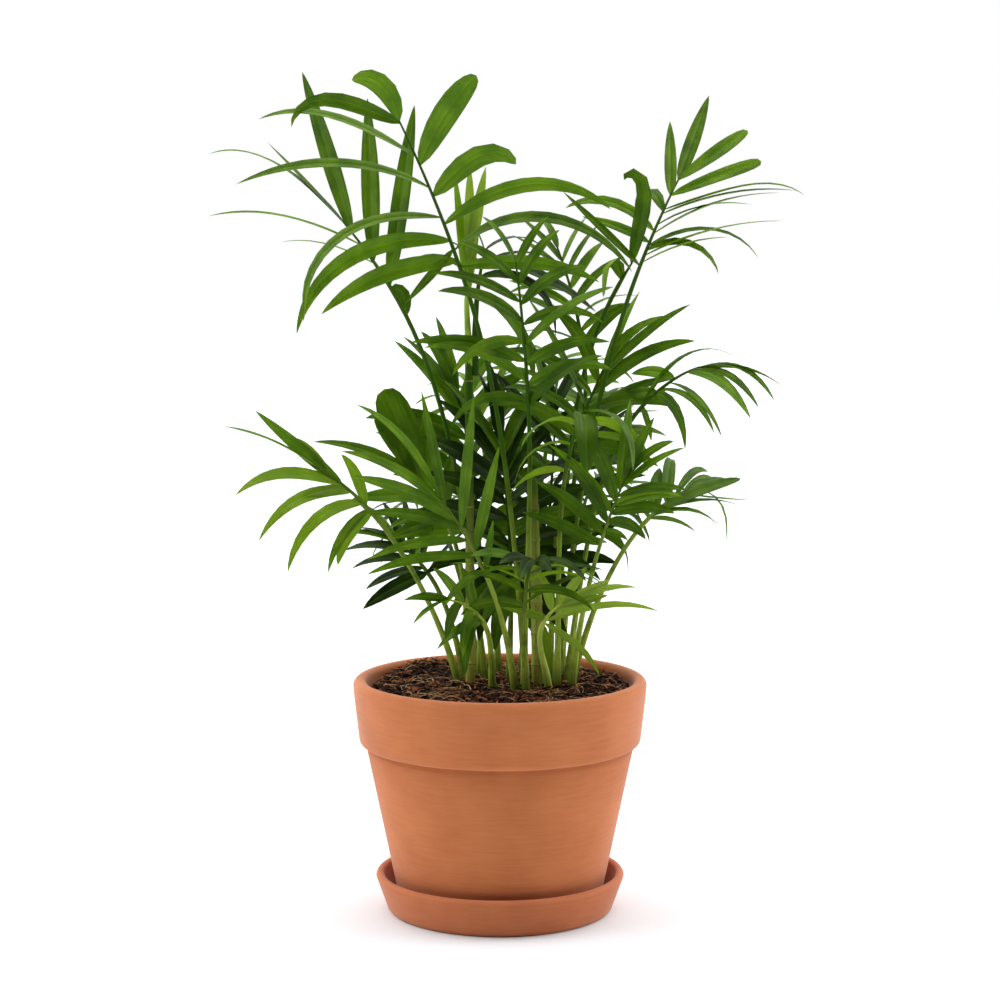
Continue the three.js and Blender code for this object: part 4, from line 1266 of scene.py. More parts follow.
@dataclass
class Frond:
    """One leaf of the palm: a stalk that leaves the soil steeply, and a rachis that arches on with leaflets.

    `foot` is where it leaves the soil, `neck` where its blade begins and `tip` the end of its rachis. `face`
    is the bearing that its upper side looks to and `tilt` the slope of that. `width` is the width of its
    broadest leaflets, `lift` how far they rise off its face, and `loose` multiplies how far each one strays.
    """

    name: str
    foot: tuple[float, float]
    neck: Triple
    tip: Triple
    face: float
    tilt: float
    width: float
    lift: float
    loose: float
    seed: int
    tone: Tone
    right: Half
    left: Half
    foot_level: float = SOIL_LEVEL
    upright: float = 0.45  # how far its start turns from its own lean to straight up, from 0 to 1
    radii: Triple = (1.5, 1.2, 0.5)  # of the stalk at its foot, at the neck and at the tip
    short_width: float = 0.4  # width share of the shortest leaflets of a half
    full_width_at: float = 1.2  # how many times the longest one's length would add a whole width
    phase_step: float = 2.4  # radians between the ripples of two neighbours
    mixing: float = 3.7  # times the phase whose sine picks the leaflets of the next tone
    mixing_level: float = 0.55  # that it has to pass
    swelling: float = 0.6  # share by which the foot is thicker yet
    swelling_reach: float = 22  # mm up the stalk
    rings: tuple[int, int] = (26, 16)  # of the stalk and of the rachis
    sides: int = 10

    def axis(self) -> tuple[Curve, Curve]:
        """Draws the curves that it is built along.

        Returns:
            The stalk's curve and the rachis's.
        """
        foot = np.array([*self.foot, self.foot_level])
        neck, tip = np.array(self.neck, float), np.array(self.tip, float)
        low, high = np.linalg.norm(neck - foot), np.linalg.norm(tip - neck)
        lean, reach = unit(neck - foot), unit(tip - neck)
        start = unit(lean + (UP - lean) * self.upright)
        middle = unit(high * lean + low * reach)
        end = unit(2 * reach - middle)
        return reaching(foot, neck, start, middle), reaching(neck, tip, middle, end)

    def leaflets(self, rachis: Curve) -> list[Leaflet]:
        """Lists its leaflets, the right half's first.

        Args:
            rachis: The curve that they grow from.

        Returns:
            The leaflets.
        """
        spread = Spread(self.seed)
        bearing = math.radians(self.face)
        towards = np.array([math.cos(bearing), math.sin(bearing), self.tilt])
        grown = []
        for side, half in ((1, self.right), (-1, self.left)):
            for i in range(half.count):
                g = i / (half.count - 1) if half.count > 1 else 1
                u = along(half.span, g)
                forward = rachis.tangent(u)
                up = unit(towards - np.dot(towards, forward) * forward)
                opening = along(half.opening, g) + spread(STRAY.opening * self.loose)
                lift = self.lift + spread(STRAY.lift * self.loose)
                length = along(half.size, g) * (1 + spread(STRAY.length * self.loose))
                fullness = min(1, self.short_width + length / (self.full_width_at * max(half.size)))
                full = self.width * along(half.wide, g) * fullness
                grown.append(
                    Leaflet(
                        root=rachis.point(u),
                        forward=forward,
                        up=up,
                        outward=side * np.cross(forward, up),
                        opening=math.radians(opening),
                        lift=math.radians(lift),
                        length=length,
                        width=full * (1 + spread(STRAY.width * self.loose)),
                        droop=math.radians(along(half.droop, g) * (1 + spread(STRAY.droop * self.loose))),
                        twist=math.radians(spread(STRAY.twist * self.loose)),
                        roll=math.radians(spread(STRAY.roll * self.loose) - side * along(half.roll, g)),
                        blunt=along(half.blunt, g),
                        late=along(half.late, g),
                        phase=self.seed + i * self.phase_step,
                    )
                )
        return grown

    def stalk(self, petiole: Curve, rachis: Curve) -> bpy.types.Object:
        """Builds the stalk and the rachis in one.

        Args:
            petiole: The stalk's curve.
            rachis: The rachis's.

        Returns:
            The piece.
        """
        foot, neck, tip = self.radii
        lower, upper = np.linspace(0, 1, self.rings[0]), np.linspace(0, 1, self.rings[1])[1:]
        tall = np.linalg.norm(petiole.knots[3] - petiole.knots[0])
        start = petiole.tangent(0)
        centres = [petiole.point(0) - SUNK * start]
        directions = [start]
        radii = [foot * (1 + self.swelling)]
        for t in lower:
            centres.append(petiole.point(t))
            directions.append(petiole.tangent(t))
            swollen = 1 + self.swelling * math.exp(-t * tall / self.swelling_reach)
            radii.append((foot + (neck - foot) * t) * swollen)
        for t in upper:
            centres.append(rachis.point(t))
            directions.append(rachis.tangent(t))
            radii.append(neck + (tip - neck) * t)
        skin = Skin()
        skin.tube(np.array(centres) * MM, np.array(directions), np.array(radii) * MM, self.sides)
        return skin.piece(self.name + "_stalk", [finished(STALKS[self.tone])])

    def build(self) -> None:
        """Grows the frond and dresses it."""
        petiole, rachis = self.axis()
        dressed(self.stalk(petiole, rachis), [self.name])
        skin = Skin()
        for leaflet in self.leaflets(rachis):
            other = math.sin(self.mixing * leaflet.phase) > self.mixing_level
            leaflet.grow(skin, (2, 3) if other else (0, 1))  # both sides of the next tone, or of its own
        near = NEXT_TONE[self.tone]
        finishes = [tone.value for tone in (self.tone, near)]
        coats = [finished(side) for finish in finishes for side in (finish, finish.underside())]
        dressed(skin.piece(self.name + "_leaflets", coats, crease=35), [self.name])


STALKS = {  # the stalk that a frond of each tone grows on; the deepest tone's is darker from lower up, as painted shade
    Tone.DEEP_SHADED: SHADED_STALK,
    Tone.MID: OLD_STALK,
    Tone.FRESH: OLD_STALK,
    Tone.BRIGHT: OLD_STALK,
    Tone.PALE: YOUNG_STALK,
}


@dataclass
class Palm:
    """The plant: a clump of fronds on slim stalks, with two bare canes."""

    canes: list[RingedCane] = field(default_factory=lambda: list(CANES))
    fronds: list[Frond] = field(default_factory=lambda: list(FRONDS))

    def build(self) -> None:
        """Builds each cane and frond."""
        for part in (*self.canes, *self.fronds):
            part.build()


CANES = (
    RingedCane("cane_tall", foot=(-16, -6), top=(-17, 8, 305), foot_radius=2.7, top_radius=2.0),
    RingedCane("cane_thick", foot=(21, -9), top=(18, -3, 236), foot_radius=3.6, top_radius=2.3),
)

FRONDS = (
    Frond(
        "frond_top_left", foot=(14, 2), neck=(-18, -22, 341), tip=(-52, -42, 426),
        face=-92, tilt=0.2, width=13, lift=10, loose=0.2, seed=3, tone=Tone.FRESH,
        right=Half(
            5, (0.12, 0.21, 0.37, 0.54, 0.73), (100, 64, 70, 63, 46), (76, 110, 98, 56, 58),
            (36, 105, 80, 110, 25), (0, 62, 0, 0, 0), (0.63, 0.6, 0.6, 1.1, 1.25),
            (0, 0, 0.2, 0.6, 0.8), (1.7, 1, 1.4, 3, 1.3),
        ),
        left=Half(
            8, (0.15, 0.22, 0.27, 0.41, 0.59, 0.78, 0.985, 1), (70, 118, 62, 62, 40, 35, 40, -13),
            (80, 38, 105, 106, 106, 89, 67, 40), (42, 0, 88, 108, 52, 52, 115, 95),
            (0, 0, 0, 60, 60, 60, 0, 0), (0.75, 0.53, 0.72, 0.62, 0.6, 0.6, 0.68, 1.15),
            (0, 0, 0, 0, 0, 0, 0, 0.5), (1.2, 1, 1.4, 1.6, 1, 2.2, 3.4, 1.5),
        ),
    ),
    Frond(
        "frond_upper_left", foot=(-8, 10), neck=(-60, 30, 339), tip=(-87, 50, 375),
        face=-86, tilt=0.2, width=10.5, lift=8, loose=0.2, seed=18, tone=Tone.MID,
        right=Half(
            4, (0, 0.03, 0.38, 0.82), (95, 38, 30, 19), (20, 107, 98, 107), (150, 2, 2, 2),
            (0,), (1.3, 1, 1, 0.95), (0.5, 0.1, 0.1, 0.1), (0.6, 1, 1, 1),
        ),
        left=Half(
            4, (0.35, 0.63, 0.97, 1), (28, 26, 3, 3), (57, 93, 112, 72), (35, 36, 55, 2),
            (60, 70, 50, 55), (0.62, 0.66, 0.75, 0.6), (0,), (1.7, 1.5, 2, 1),
        ),
    ),
    Frond(
        "frond_top_right", foot=(32, 14), neck=(71, 12, 338), tip=(99, 46, 399),
        face=-98, tilt=0.2, width=9, lift=10, loose=0.2, seed=7, tone=Tone.FRESH,
        right=Half(
            10, (0.23, 0.29, 0.33, 0.37, 0.48, 0.56, 0.66, 0.7, 0.83, 0.985),
            (43, 46, 39, 40, 37, 37, 48, 50, 44, 26), (50, 78, 50, 70, 76, 56, 77, 82, 55, 51),
            (28, 27, 110, 90, 32, 40, 28, 60, 5, 0), (65, 65, 0, 30, 50, 50, 45, 65, 0, 0),
            (0.6, 0.6, 0.6, 0.6, 0.65, 0.65, 0.65, 0.6, 1.05, 1.1),
            (0, 0, 0, 0, 0, 0, 0, 0, 1, 0.9), (1.2, 1.2, 1.2, 1.5, 1.2, 1.2, 1.3, 3.5, 1, 1),
        ),
        left=Half(
            6, (0.2, 0.4, 0.5, 0.68, 0.83, 0.985), (64, 82, 64, 38, 22, 5), (59, 40, 57, 38, 48, 62),
            (2, 20, 75, 165, 0, 0), (0,), (0.5, 0.7, 0.75, 1, 0.8, 0.95),
            (0, 0, 0.2, 0.6, 0, 0), (1, 1, 1.4, 1.6, 1, 1),
        ),
    ),
    Frond(
        "frond_upper_right", foot=(31, 20), neck=(65, 24, 341), tip=(72, 20, 353),
        face=-100, tilt=0.2, width=11, lift=12, loose=0.2, seed=9, tone=Tone.FRESH,
        right=Half(1, (0.95,), (-21,), (60,), (-190,), (0,), (0.9,), (0.4,), (6,)),
        left=Half(1, (0.2,), (36,), (38,), (400,), (0,), (0.8,), (0.4,), (1.8,)),
    ),
    Frond(
        "frond_mid_right", foot=(36, -4), neck=(76, 0, 275), tip=(104, -40, 299),
        face=-98, tilt=0.5, width=7, lift=12, loose=0.2, seed=11, tone=Tone.MID,
        right=Half(
            7, (0.02, 0.25, 0.35, 0.5, 0.8, 0.9, 0.985), (78, 30, 28, 32, 16, 12, 4),
            (21, 46, 60, 66, 72, 70, 74), (45, 95, 60, 45, 48, 48, 58), (0, 0, 45, 60, 0, 30, 35),
            (1.1, 1, 0.6, 0.5, 0.85, 0.65, 0.65), (0, 0, 0, 0, 0.1, 0, 0), (1, 1.1, 1.5, 1.3, 1.2, 1.3, 1.6),
        ),
        left=Half(
            4, (0, 0.3, 0.6, 0.985), (14, 150, 140, -6), (92, 36, 40, 76), (78, 20, 30, 34),
            (65, 20, 10, 65), (0.55, 1.2, 1.2, 0.55), (0,), (1.3, 1, 1, 1.6),
        ),
    ),
    Frond(
        "frond_low_right", foot=(40, 8), neck=(81, 8, 214), tip=(106, 30, 229),
        face=-98, tilt=0.5, width=7.5, lift=8, loose=0.2, seed=13, tone=Tone.MID,
        right=Half(
            7, (0, 0.05, 0.12, 0.2, 0.75, 0.9, 0.985), (44, 24, 18, 14, 50, 4, 30),
            (28, 43, 54, 56, 40, 36, 46), (50, 70, 44, 14, -10, 38, 120), (10, 20, 30, 0, 30, 10, 30),
            (0.7, 0.75, 0.75, 1.05, 0.55, 0.95, 0.5), (0, 0, 0, 0.6, 0, 0.2, 0),
            (1.2, 1.4, 1.2, 1.2, 1, 3, 1.2),
        ),
        left=Half(
            5, (0, 0.1, 0.4, 0.6, 0.8), (60, 36, 38, 22, 14), (32, 34, 42, 48, 36), (40, 20, 110, 60, 50),
            (20, 0, 0, 30, 40), (0.9, 1.15, 1.05, 0.65, 0.5), (0, 0.2, 0.2, 0, 0), (1.2, 1, 4, 1.4, 1.3),
        ),
    ),
    Frond(
        "frond_low_left", foot=(-23, 2), neck=(-69, -8, 219), tip=(-98, -46, 248),
        face=-85, tilt=0.4, width=8, lift=6, loose=0.2, seed=15, tone=Tone.BRIGHT,
        right=Half(
            3, (0.1, 0.5, 0.7), (26, 2, 20), (40, 80, 36), (40, 0, 20), (20, 20, 50), (0.95, 0.85, 0.65),
        ),
        left=Half(
            7, (0, 0.05, 0.15, 0.35, 0.42, 0.5, 0.8), (62, 64, 34, 25, 30, 15, -6),
            (38, 44, 69, 75, 32, 84, 86), (70, 60, 82, 66, 12, 50, 20), (0, 10, 20, 20, 10, 20, 45),
            (1.5, 0.85, 0.85, 0.85, 1, 0.85, 0.65), (0.1, 0, 0, 0, 0, 0, 0), (1.1, 1.1, 1.2, 1.5, 1, 2, 1.2),
        ),
    ),
    Frond(
        "frond_front_left", foot=(8, -24), neck=(-7, -42, 189), tip=(-31, -60, 232),
        face=-90, tilt=0.2, width=7.5, lift=5, loose=0.2, seed=17, tone=Tone.FRESH,
        right=Half(
            4, (0.05, 0.3, 0.6, 0.9), (30, 37, 34, 23), (30, 60, 74, 66), (0, 2, 2, 3),
            (30, 20, 25, 30), (0.8, 0.8, 0.8, 0.75),
        ),
        left=Half(
            7, (0.08, 0.25, 0.45, 0.6, 0.7, 0.85, 0.985), (84, 53, 54, 33, 17, 8, -12),
            (30, 62, 57, 55, 68, 72, 76), (45, 30, 28, 25, 27, 34, 40), (10, 30, 35, 25, 20, 30, 35),
            (0.8, 0.75, 0.75, 0.9, 0.95, 0.8, 0.75), (0,), (1, 1.2, 1.4, 1.2, 1.2, 1.4, 1.6),
        ),
    ),
    Frond(
        "frond_pale", foot=(26, -20), neck=(23, -24, 161), tip=(33, -30, 173),
        face=-80, tilt=0.2, width=5.5, lift=5, loose=0.3, seed=19, tone=Tone.PALE,
        right=Half(
            7, (0, 0.05, 0.1, 0.5, 0.6, 0.8, 0.95), (150, 92, 36, 14, 26, 20, 6),
            (26, 42, 66, 54, 28, 30, 32), (0, 40, 42, 42, 5, 5, 5), (0,),
            (1.5, 0.9, 0.8, 0.85, 1, 1, 1), (0.4, 0, 0, 0, 0.3, 0.3, 0.3),
        ),
        left=Half(3, (0.2, 0.9), (96, 50, 20), (26, 24, 30), (15, 5)),
    ),
    Frond(
        "frond_centre", foot=(13, -13), neck=(15, -28, 278), tip=(8, -60, 354),
        face=-90, tilt=0.3, width=7.5, lift=12, loose=1.4, seed=163, tone=Tone.MID,
        right=Half(
            8, (0, 0.97), (38, 66, 42, 60, 30, 18), (58, 50, 66, 48, 50, 36), (50, 80, 30, 70, 40, 30),
            (30, 0, 45, 10, 40, 0), (0.9, 0.8, 1, 0.75, 0.9, 0.8), (0,), (1.3,),
        ),
        left=Half(
            8, (0.03, 0.985), (62, 40, 66, 36, 40, 12), (50, 64, 52, 60, 48, 38), (70, 30, 80, 40, 50, 30),
            (10, 40, 0, 35, 20, 40), (0.85, 1, 0.8, 0.95, 0.8, 0.8), (0,), (1.3,),
        ),
    ),
    Frond(
        "frond_behind_centre", foot=(20, 38), neck=(46, 42, 306), tip=(32, 66, 362),
        face=-90, tilt=0.35, width=6, lift=8, loose=1.3, seed=170, tone=Tone.FRESH,
        right=Half(
            8, (0, 0.97), (34, 60, 30, 46, 10), (42, 38, 46, 36, 28), (30, 40, 50, 20, 30),
            (10, 45, 20, 40, 0), (0.95, 0.85, 0.9, 0.8, 0.8), (0,), (1.3,),
        ),
        left=Half(
            7, (0.04, 0.985), (56, 30, 50, 24, 6), (36, 46, 38, 40, 30), (40, 10, 60, 20, 20),
            (45, 10, 40, 10, 30), (0.85, 0.95, 0.85, 0.9, 0.8), (0,), (1.3,),
        ),
    ),
    Frond(
        "frond_cane_side", foot=(-13.8, 8.7), foot_level=300, neck=(-12, 11, 338), tip=(-8, 24, 360),
        face=-70, tilt=0.35, width=12, lift=8, loose=0.3, seed=177, tone=Tone.DEEP_SHADED,
        right=Half(
            5, (0, 0.3, 0.6, 0.8, 0.985), (110, 60, 45, 84, 30), (62, 66, 60, 70, 46),
            (60, 110, 70, 30, 60), (10, 20, 50, 20, 45), (0.65, 0.62, 0.55, 0.8, 0.5),
            (0,), (1.1, 1.2, 1.3, 1, 1.3),
        ),
        left=Half(
            3, (0.2, 0.6, 0.95), (60, 62, 30), (36, 40, 34), (50, 90, 60), (30, 50, 50), (0.5, 0.45, 0.45),
        ),
    ),
    Frond(
        "frond_spear", foot=(-17, 8), foot_level=305 + CLEARANCE, neck=(-18, 9, 333), tip=(-17, 6, 357),
        face=-80, tilt=0.35, width=7, lift=30, loose=0.5, seed=184, tone=Tone.PALE,
        right=Half(2, (0, 0.8), (9, 8, 7), (64, 62, 54), (0, 0, 0)),
        left=Half(2, (0.2, 0.95), (9, 7, 5), (68, 60, 50), (0, 0, 0)),
    ),
    Frond(
        "frond_foot_left", foot=(-4, -18), neck=(-9, -30, 163), tip=(-27, -52, 178),
        face=-80, tilt=0.6, width=7, lift=8, loose=0.5, seed=191, tone=Tone.MID,
        right=Half(
            4, (0, 0.3, 0.6, 0.985), (60, 46, 30, 8), (34, 28, 30, 34), (60, 30, 20, 30),
            (20, 40, 30, 50), (0.9, 0.8, 0.8, 0.8),
        ),
        left=Half(
            5, (0, 0.2, 0.4, 0.75, 0.985), (40, 70, 60, 40, 14), (42, 36, 30, 28, 34), (45, 70, 60, 40, 35),
            (0, 20, 30, 30, 50), (1, 0.9, 0.8, 0.8, 0.7), (0,), (1, 1, 1, 1, 1.2),
        ),
    ),
    Frond(
        "frond_back_left", foot=(-20, 16), neck=(-40, 24, 182), tip=(-58, 36, 199),
        face=-95, tilt=0.35, width=7.5, lift=10, loose=0.6, seed=198, tone=Tone.DEEP_SHADED,
        right=Half(
            5, (0, 0.9), (70, 44, 30, 16), (36, 42, 34, 36), (20, 30, 20, 30), (50, 20, 40, 30), (0.9,),
        ),
        left=Half(
            6, (0, 0.15, 0.4, 0.8, 0.985), (75, 50, 28, 14, 4), (40, 36, 42, 38, 34),
            (25, 40, 45, 35, 30), (0, 30, 10, 20, 50), (1.1, 0.8, 1, 0.85, 0.7), (0,), (1.2,),
        ),
    ),
    Frond(
        "frond_broad_left", foot=(-17, 11), neck=(-30, 14, 213), tip=(-44, 16, 235),
        face=-85, tilt=0.35, width=14, lift=10, loose=0.2, seed=205, tone=Tone.MID,
        right=Half(
            3, (0.1, 0.6, 0.985), (36, 30, 18), (40, 48, 53), (5, 10, 5), (20, 10, 0), (0.6, 0.6, 1.4),
            (0, 0.2, 0.9), (1,),
        ),
        left=Half(
            4, (0, 0.5, 0.85, 0.985), (70, 52, 15, -4), (34, 46, 66, 42), (25, 20, 40, 3),
            (20, 20, 10, 0), (0.6, 0.65, 0.5, 0.75), (0, 0, 0, 0.5), (1.2,),
        ),
    ),
    Frond(
        "frond_inner_right", foot=(27, 0), neck=(39, 8, 250), tip=(57, 14, 297),
        face=-90, tilt=0.35, width=8.5, lift=10, loose=1.4, seed=212, tone=Tone.MID,
        right=Half(
            7, (0, 0.985), (60, 30, 54, 20, 8), (52, 66, 60, 70, 48), (50, 20, 70, 20, 40),
            (0, 30, 10, 35, 20), (0.85, 0.8, 0.9, 0.8, 0.75), (0,), (1.2, 1.8, 1.2),
        ),
        left=Half(
            7, (0.03, 0.97), (50, 76, 40, 60, 8), (56, 52, 66, 48, 46), (30, 80, 20, 70, 20),
            (20, 0, 40, 10, 40), (0.8, 0.9, 0.75, 0.9, 0.7), (0,), (1.3,),
        ),
    ),
    Frond(
        "frond_bent", foot=(31, -12), neck=(35, -24, 243), tip=(42, -62, 276),
        face=-90, tilt=3, width=11.5, lift=10, loose=0.3, seed=219, tone=Tone.FRESH,
        right=Half(
            4, (0, 0.4, 0.75, 0.95), (75, 64, 50, 4), (36, 44, 46, 44), (70, 90, 80, 150),
            (10, 20, 10, 5), (0.65, 0.65, 0.7, 1.1), (0, 0, 0, 0.3), (1.1, 1.1, 1.2, 0.8),
        ),
        left=Half(
            4, (0, 0.45, 0.8, 0.985), (70, 74, 95, 40), (34, 44, 54, 52), (70, 80, 95, 130),
            (20, 10, 0, 0), (0.65, 0.7, 0.75, 0.95), (0, 0, 0.1, 0.2), (1.1, 1.1, 1.2, 0.9),
        ),
    ),
    Frond(
        "frond_front_right", foot=(39, -12), neck=(50, -17, 190), tip=(66, -34, 240),
        face=-100, tilt=0.35, width=8.5, lift=12, loose=1.2, seed=226, tone=Tone.MID,
        right=Half(
            7, (0.4, 0.985), (56, 50, 30, 44, 24, 6), (17, 30, 46, 42, 50, 46), (70, 50, 20, 50, 20, 30),
            (20, 0, 30, 40, 20, 45), (0.7, 0.8, 0.9, 0.7, 0.9, 0.75), (0,), (1.2,),
        ),
        left=Half(
            7, (0.25, 0.97), (70, 60, 40, 50, 20, 6), (44, 50, 46, 56, 52, 46), (20, 30, 20, 40, 10, 20),
            (0, 30, 0, 20, 40, 10), (0.85, 0.95, 0.85, 0.9, 0.95, 0.75), (0,), (1.2,),
        ),
    ),
    Frond(
        "frond_inner_left", foot=(-11, 22), neck=(-12, 31, 205), tip=(-24, 48, 282),
        face=-90, tilt=0.35, width=10, lift=10, loose=1.3, seed=233, tone=Tone.MID,
        right=Half(
            9, (0, 0.985), (60, 36, 56, 28, 48, 8), (48, 56, 50, 64, 48, 44), (50, 20, 50, 10, 60, 30),
            (0, 30, 10, 45, 0, 30), (0.8, 0.85, 0.95, 0.75, 0.9, 0.75), (0,), (1.3,),
        ),
        left=Half(
            10, (0, 0.97), (80, 60, 34, 54, 22, 6), (48, 50, 64, 52, 58, 42), (30, 60, 10, 70, 20, 30),
            (30, 10, 40, 0, 40, 20), (0.8, 0.9, 0.75, 0.9, 0.8, 0.75), (0,), (1.3,),
        ),
    ),
    Frond(
        "frond_heart_front", foot=(5, 6), neck=(6, 6, 182), tip=(0, 12, 257),
        face=-90, tilt=0.35, width=11, lift=10, loose=1.3, seed=240, tone=Tone.DEEP_SHADED,
        right=Half(
            14, (0, 0.25, 0.985), (150, 100, 64, 56, 30, 10), (42, 48, 54, 54, 60, 50),
            (20, 60, 40, 50, 30, 30), (0, 10, 20, 20, 30, 0), (0.85, 0.9, 0.8, 0.85, 0.7, 0.7), (0,), (1.3,),
        ),
        left=Half(
            14, (0, 0.25, 0.985), (156, 110, 50, 60, 34, 8), (40, 46, 54, 50, 58, 48),
            (20, 60, 40, 50, 30, 30), (0, 20, 20, 20, 10, 40), (0.9, 0.85, 0.8, 0.85, 0.85, 0.7),
            (0,), (1.3,),
        ),
    ),
    Frond(
        "frond_heart_back", foot=(19, 14), neck=(25, 21, 186), tip=(31, 42, 271),
        face=-90, tilt=0.35, width=11, lift=10, loose=1.4, seed=247, tone=Tone.DEEP_SHADED,
        right=Half(
            11, (0, 0.35, 0.985), (70, 44, 70, 34, 60, 10), (40, 48, 50, 62, 50, 48),
            (40, 20, 70, 20, 80, 30), (0, 20, 0, 40, 10, 30), (0.8, 0.8, 0.9, 0.7, 0.9, 0.7), (0,), (1.3,),
        ),
        left=Half(
            11, (0, 0.35, 0.985), (76, 60, 36, 64, 30, 8), (40, 48, 58, 50, 60, 46),
            (60, 40, 20, 80, 20, 30), (20, 0, 40, 10, 30, 20), (0.8, 0.9, 0.7, 0.9, 0.75, 0.7), (0,), (1.3,),
        ),
    ),
    Frond(
        "frond_forward", foot=(14, -26), neck=(13, -38, 172), tip=(18, -92, 204),
        face=90, tilt=1.4, width=9.5, lift=10, loose=1.2, seed=254, tone=Tone.DEEP_SHADED,
        right=Half(
            7, (0, 0.985), (70, 50, 62, 30, 14), (36, 46, 40, 48, 42), (50, 30, 70, 40, 50),
            (0, 30, 10, 35, 20), (0.8, 0.7, 0.85, 0.7, 0.7), (0,), (1.3,),
        ),
        left=Half(
            7, (0.04, 0.97), (58, 70, 44, 50, 12), (42, 38, 48, 44, 40), (30, 60, 30, 60, 40),
            (20, 0, 30, 10, 40), (0.75, 0.85, 0.7, 0.8, 0.7), (0,), (1.3,),
        ),
    ),
    Frond(
        "frond_back_right", foot=(34, 24), neck=(48, 42, 238), tip=(58, 66, 272),
        face=-100, tilt=0.6, width=8, lift=10, loose=1.5, seed=261, tone=Tone.MID,
        right=Half(
            6, (0, 0.985), (62, 40, 60, 30, 12), (34, 46, 38, 44, 34), (60, 30, 70, 20, 50),
            (0, 30, 10, 40, 10), (0.9, 0.8, 0.9, 0.75, 0.8), (0,), (1.3,),
        ),
        left=Half(
            6, (0.04, 0.97), (58, 66, 36, 50, 10), (38, 34, 46, 36, 34), (40, 60, 20, 60, 30),
            (20, 0, 40, 10, 30), (0.85, 0.9, 0.75, 0.85, 0.8), (0,), (1.3,),
        ),
    ),
    Frond(
        "frond_rear_left", foot=(-1, 34), neck=(-8, 76, 236), tip=(-18, 140, 280),
        face=-90, tilt=1.2, width=8, lift=10, loose=1.4, seed=268, tone=Tone.MID,
        right=Half(
            8, (0, 0.985), (66, 50, 60, 34, 14), (44, 58, 48, 54, 40), (50, 80, 40, 70, 50),
            (0, 30, 10, 20, 0), (0.8, 0.9, 0.75, 0.85, 0.8), (0,), (1.3, 1.7, 1.3),
        ),
        left=Half(
            7, (0.03, 0.97), (60, 64, 46, 44, 12), (50, 46, 58, 46, 42), (70, 50, 90, 50, 40),
            (20, 0, 30, 10, 20), (0.85, 0.75, 0.9, 0.8, 0.8), (0,), (1.5, 1.2, 1.5),
        ),
    ),
    Frond(
        "frond_rear_right", foot=(12, 38), neck=(29, 82, 262), tip=(38, 140, 300),
        face=-90, tilt=1.2, width=7.5, lift=10, loose=1.4, seed=275, tone=Tone.FRESH,
        right=Half(
            7, (0, 0.985), (62, 66, 44, 46, 12), (42, 40, 54, 42, 38), (60, 40, 80, 50, 60),
            (20, 0, 30, 10, 20), (0.85, 0.8, 0.9, 0.75, 0.8), (0,), (1.3, 1.7, 1.3),
        ),
        left=Half(
            8, (0.03, 0.97), (66, 48, 62, 30, 14), (40, 52, 42, 50, 38), (50, 80, 40, 70, 50),
            (0, 30, 10, 20, 0), (0.8, 0.9, 0.75, 0.85, 0.8), (0,), (1.4,),
        ),
    ),
    Frond(
        "frond_rear_low_right", foot=(33, 33), neck=(46, 72, 206), tip=(58, 130, 226),
        face=-90, tilt=1.2, width=8, lift=10, loose=1.3, seed=282, tone=Tone.DEEP_SHADED,
        right=Half(
            7, (0, 0.985), (80, 60, 60, 30, 12), (44, 50, 42, 48, 36), (90, 80, 40, 70, 50),
            (0, 30, 10, 20, 0), (0.85, 0.8, 0.9, 0.75, 0.8), (0,), (1, 1.5, 1.3),
        ),
        left=Half(
            8, (0, 0.97), (76, 70, 46, 44, 12), (48, 44, 50, 40, 38), (100, 60, 80, 50, 40),
            (20, 0, 30, 10, 20), (0.85, 0.85, 0.75, 0.85, 0.8), (0,), (1, 1.3),
        ),
    ),
    Frond(
        "frond_rear_low_left", foot=(-12, 32), neck=(-30, 70, 195), tip=(-48, 126, 212),
        face=-90, tilt=1.2, width=8, lift=10, loose=1.3, seed=289, tone=Tone.DEEP_SHADED,
        right=Half(
            8, (0, 0.985), (76, 70, 44, 46, 12), (46, 46, 52, 42, 38), (100, 60, 80, 50, 60),
            (20, 0, 30, 10, 20), (0.85, 0.8, 0.9, 0.75, 0.8), (0,), (1, 1.3),
        ),
        left=Half(
            7, (0, 0.97), (80, 56, 62, 30, 14), (44, 50, 40, 48, 36), (90, 80, 40, 70, 40),
            (0, 30, 10, 20, 0), (0.8, 0.9, 0.75, 0.85, 0.8), (0,), (1, 1.5, 1.3),
        ),
    ),
)


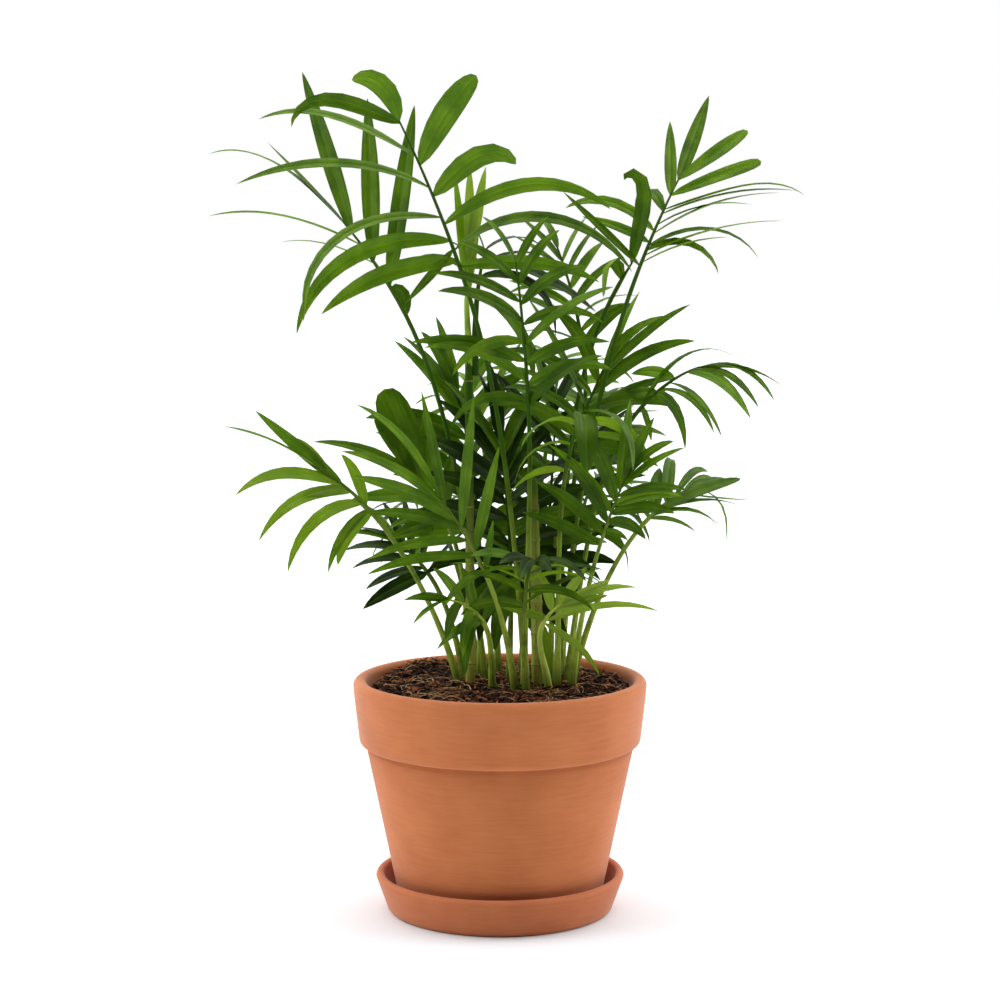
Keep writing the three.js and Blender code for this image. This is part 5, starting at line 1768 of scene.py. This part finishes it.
# ---------------------------------------------------------------- studio
@dataclass
class Studio:
    """White paper, a soft surround that is brighter at the sides and behind than in front, and the camera."""

    paper_side: float = 24.0
    camera_place: Triple = (0, -1.284, 0.360)
    camera_dip: float = 6.0  # degrees below level
    lens: float = 85.8  # mm
    sensor: float = 36  # mm wide
    front: float = 0.0  # strength of the surround in front, at the sides, behind, and added overhead
    side: float = 2.35
    back: float = 1.2
    overhead: float = 0.5
    front_edge: float = -0.62  # shares of the way back where it leaves the front and is at the sides
    side_edge: float = 0.1
    overhead_edge: float = 0.3  # share of the way up where the overhead light starts
    lamp_side: float = 1.0
    lamp_aim: Triple = (0, 0, 0.25)
    lamps: tuple[tuple[str, Triple, float], ...] = (  # name, place in metres and watts
        ("left_softbox", (-1.6, -0.3, 1.6), 10),
        ("right_softbox", (1.6, 0.1, 1.5), 9),
    )

    def floor(self) -> None:
        """Lays the paper."""
        bpy.ops.object.select_all(action="DESELECT")
        bpy.ops.mesh.primitive_plane_add(size=self.paper_side)
        paper = bpy.context.object
        paper.name = "studio_floor"
        paper.data.materials.append(finished(PAPER))

    def surround(self) -> None:
        """Lights the studio from all round, with plain white behind the object for the camera."""
        world = bpy.data.worlds.new("soft_surround")
        bpy.context.scene.world = world
        world.use_nodes = True
        tree = world.node_tree
        tree.nodes.clear()
        way = add_node(tree, "TexCoord", out="Generated")
        depth = add_node(tree, "SeparateXYZ", {"Vector": way}, out="Y")
        height = add_node(tree, "SeparateXYZ", {"Vector": way}, out="Z")
        ahead = add_node(
            tree,
            "MapRange",
            {
                "Value": depth,
                "From Min": self.front_edge,
                "From Max": self.side_edge,
                "To Min": self.front,
                "To Max": self.side,
            },
        )
        behind = add_node(
            tree,
            "MapRange",
            {"Value": depth, "From Min": self.side_edge, "From Max": 1.0, "To Max": self.back - self.side},
        )
        above = add_node(
            tree,
            "MapRange",
            {"Value": height, "From Min": self.overhead_edge, "From Max": 1.0, "To Max": self.overhead},
        )
        level = add_node(tree, "Math", {0: ahead, 1: behind}, {"operation": "ADD"})
        strength = add_node(tree, "Math", {0: level, 1: above}, {"operation": "ADD"})
        seen = add_node(tree, "LightPath", out="Is Camera Ray")
        lit = add_node(tree, "Background", {"Color": "#ffffff", "Strength": strength})
        plain = add_node(tree, "Background", {"Color": "#ffffff", "Strength": 1.0})
        surface = add_node(tree, "MixShader", {0: seen, 1: lit, 2: plain})
        add_node(tree, "OutputWorld", {"Surface": surface})

    def lamp(self, name: str, place: Triple, power: float) -> None:
        """Hangs a softbox that points at the plant.

        Args:
            name: Its name.
            place: Where it hangs, in metres.
            power: Its power in watts.
        """
        light = bpy.data.lights.new(name, "AREA")
        light.size = self.lamp_side
        light.energy = power
        holder = bpy.data.objects.new(name, light)
        holder.location = place
        aim = Vector(self.lamp_aim) - Vector(place)
        holder.rotation_euler = aim.to_track_quat("-Z", "Y").to_euler()
        bpy.context.scene.collection.objects.link(holder)

    def camera(self) -> None:
        """Sets the camera up level with the foliage, looking a little down."""
        bpy.ops.object.select_all(action="DESELECT")
        tilt = (math.radians(90 - self.camera_dip), 0, 0)
        bpy.ops.object.camera_add(location=self.camera_place, rotation=tilt)
        camera = bpy.context.object
        camera.name = "studio_camera"
        camera.data.lens = self.lens
        camera.data.sensor_width = self.sensor
        bpy.context.scene.camera = camera

    def build(self) -> None:
        """Sets up the camera, the paper and the light."""
        self.camera()
        self.floor()
        self.surround()
        for name, place, power in self.lamps:
            self.lamp(name, place, power)
        bpy.context.scene.view_settings.view_transform = "Standard"


def main() -> None:
    """Builds the studio, the pot and the plant."""
    logging.basicConfig(level=logging.INFO, format="%(name)s: %(message)s")
    Studio().build()
    pot = ClayPot()
    ClaySaucer().build()
    pot.build()
    CompostBed(pot).build()
    Palm().build()


if __name__ == "__main__":
    main()
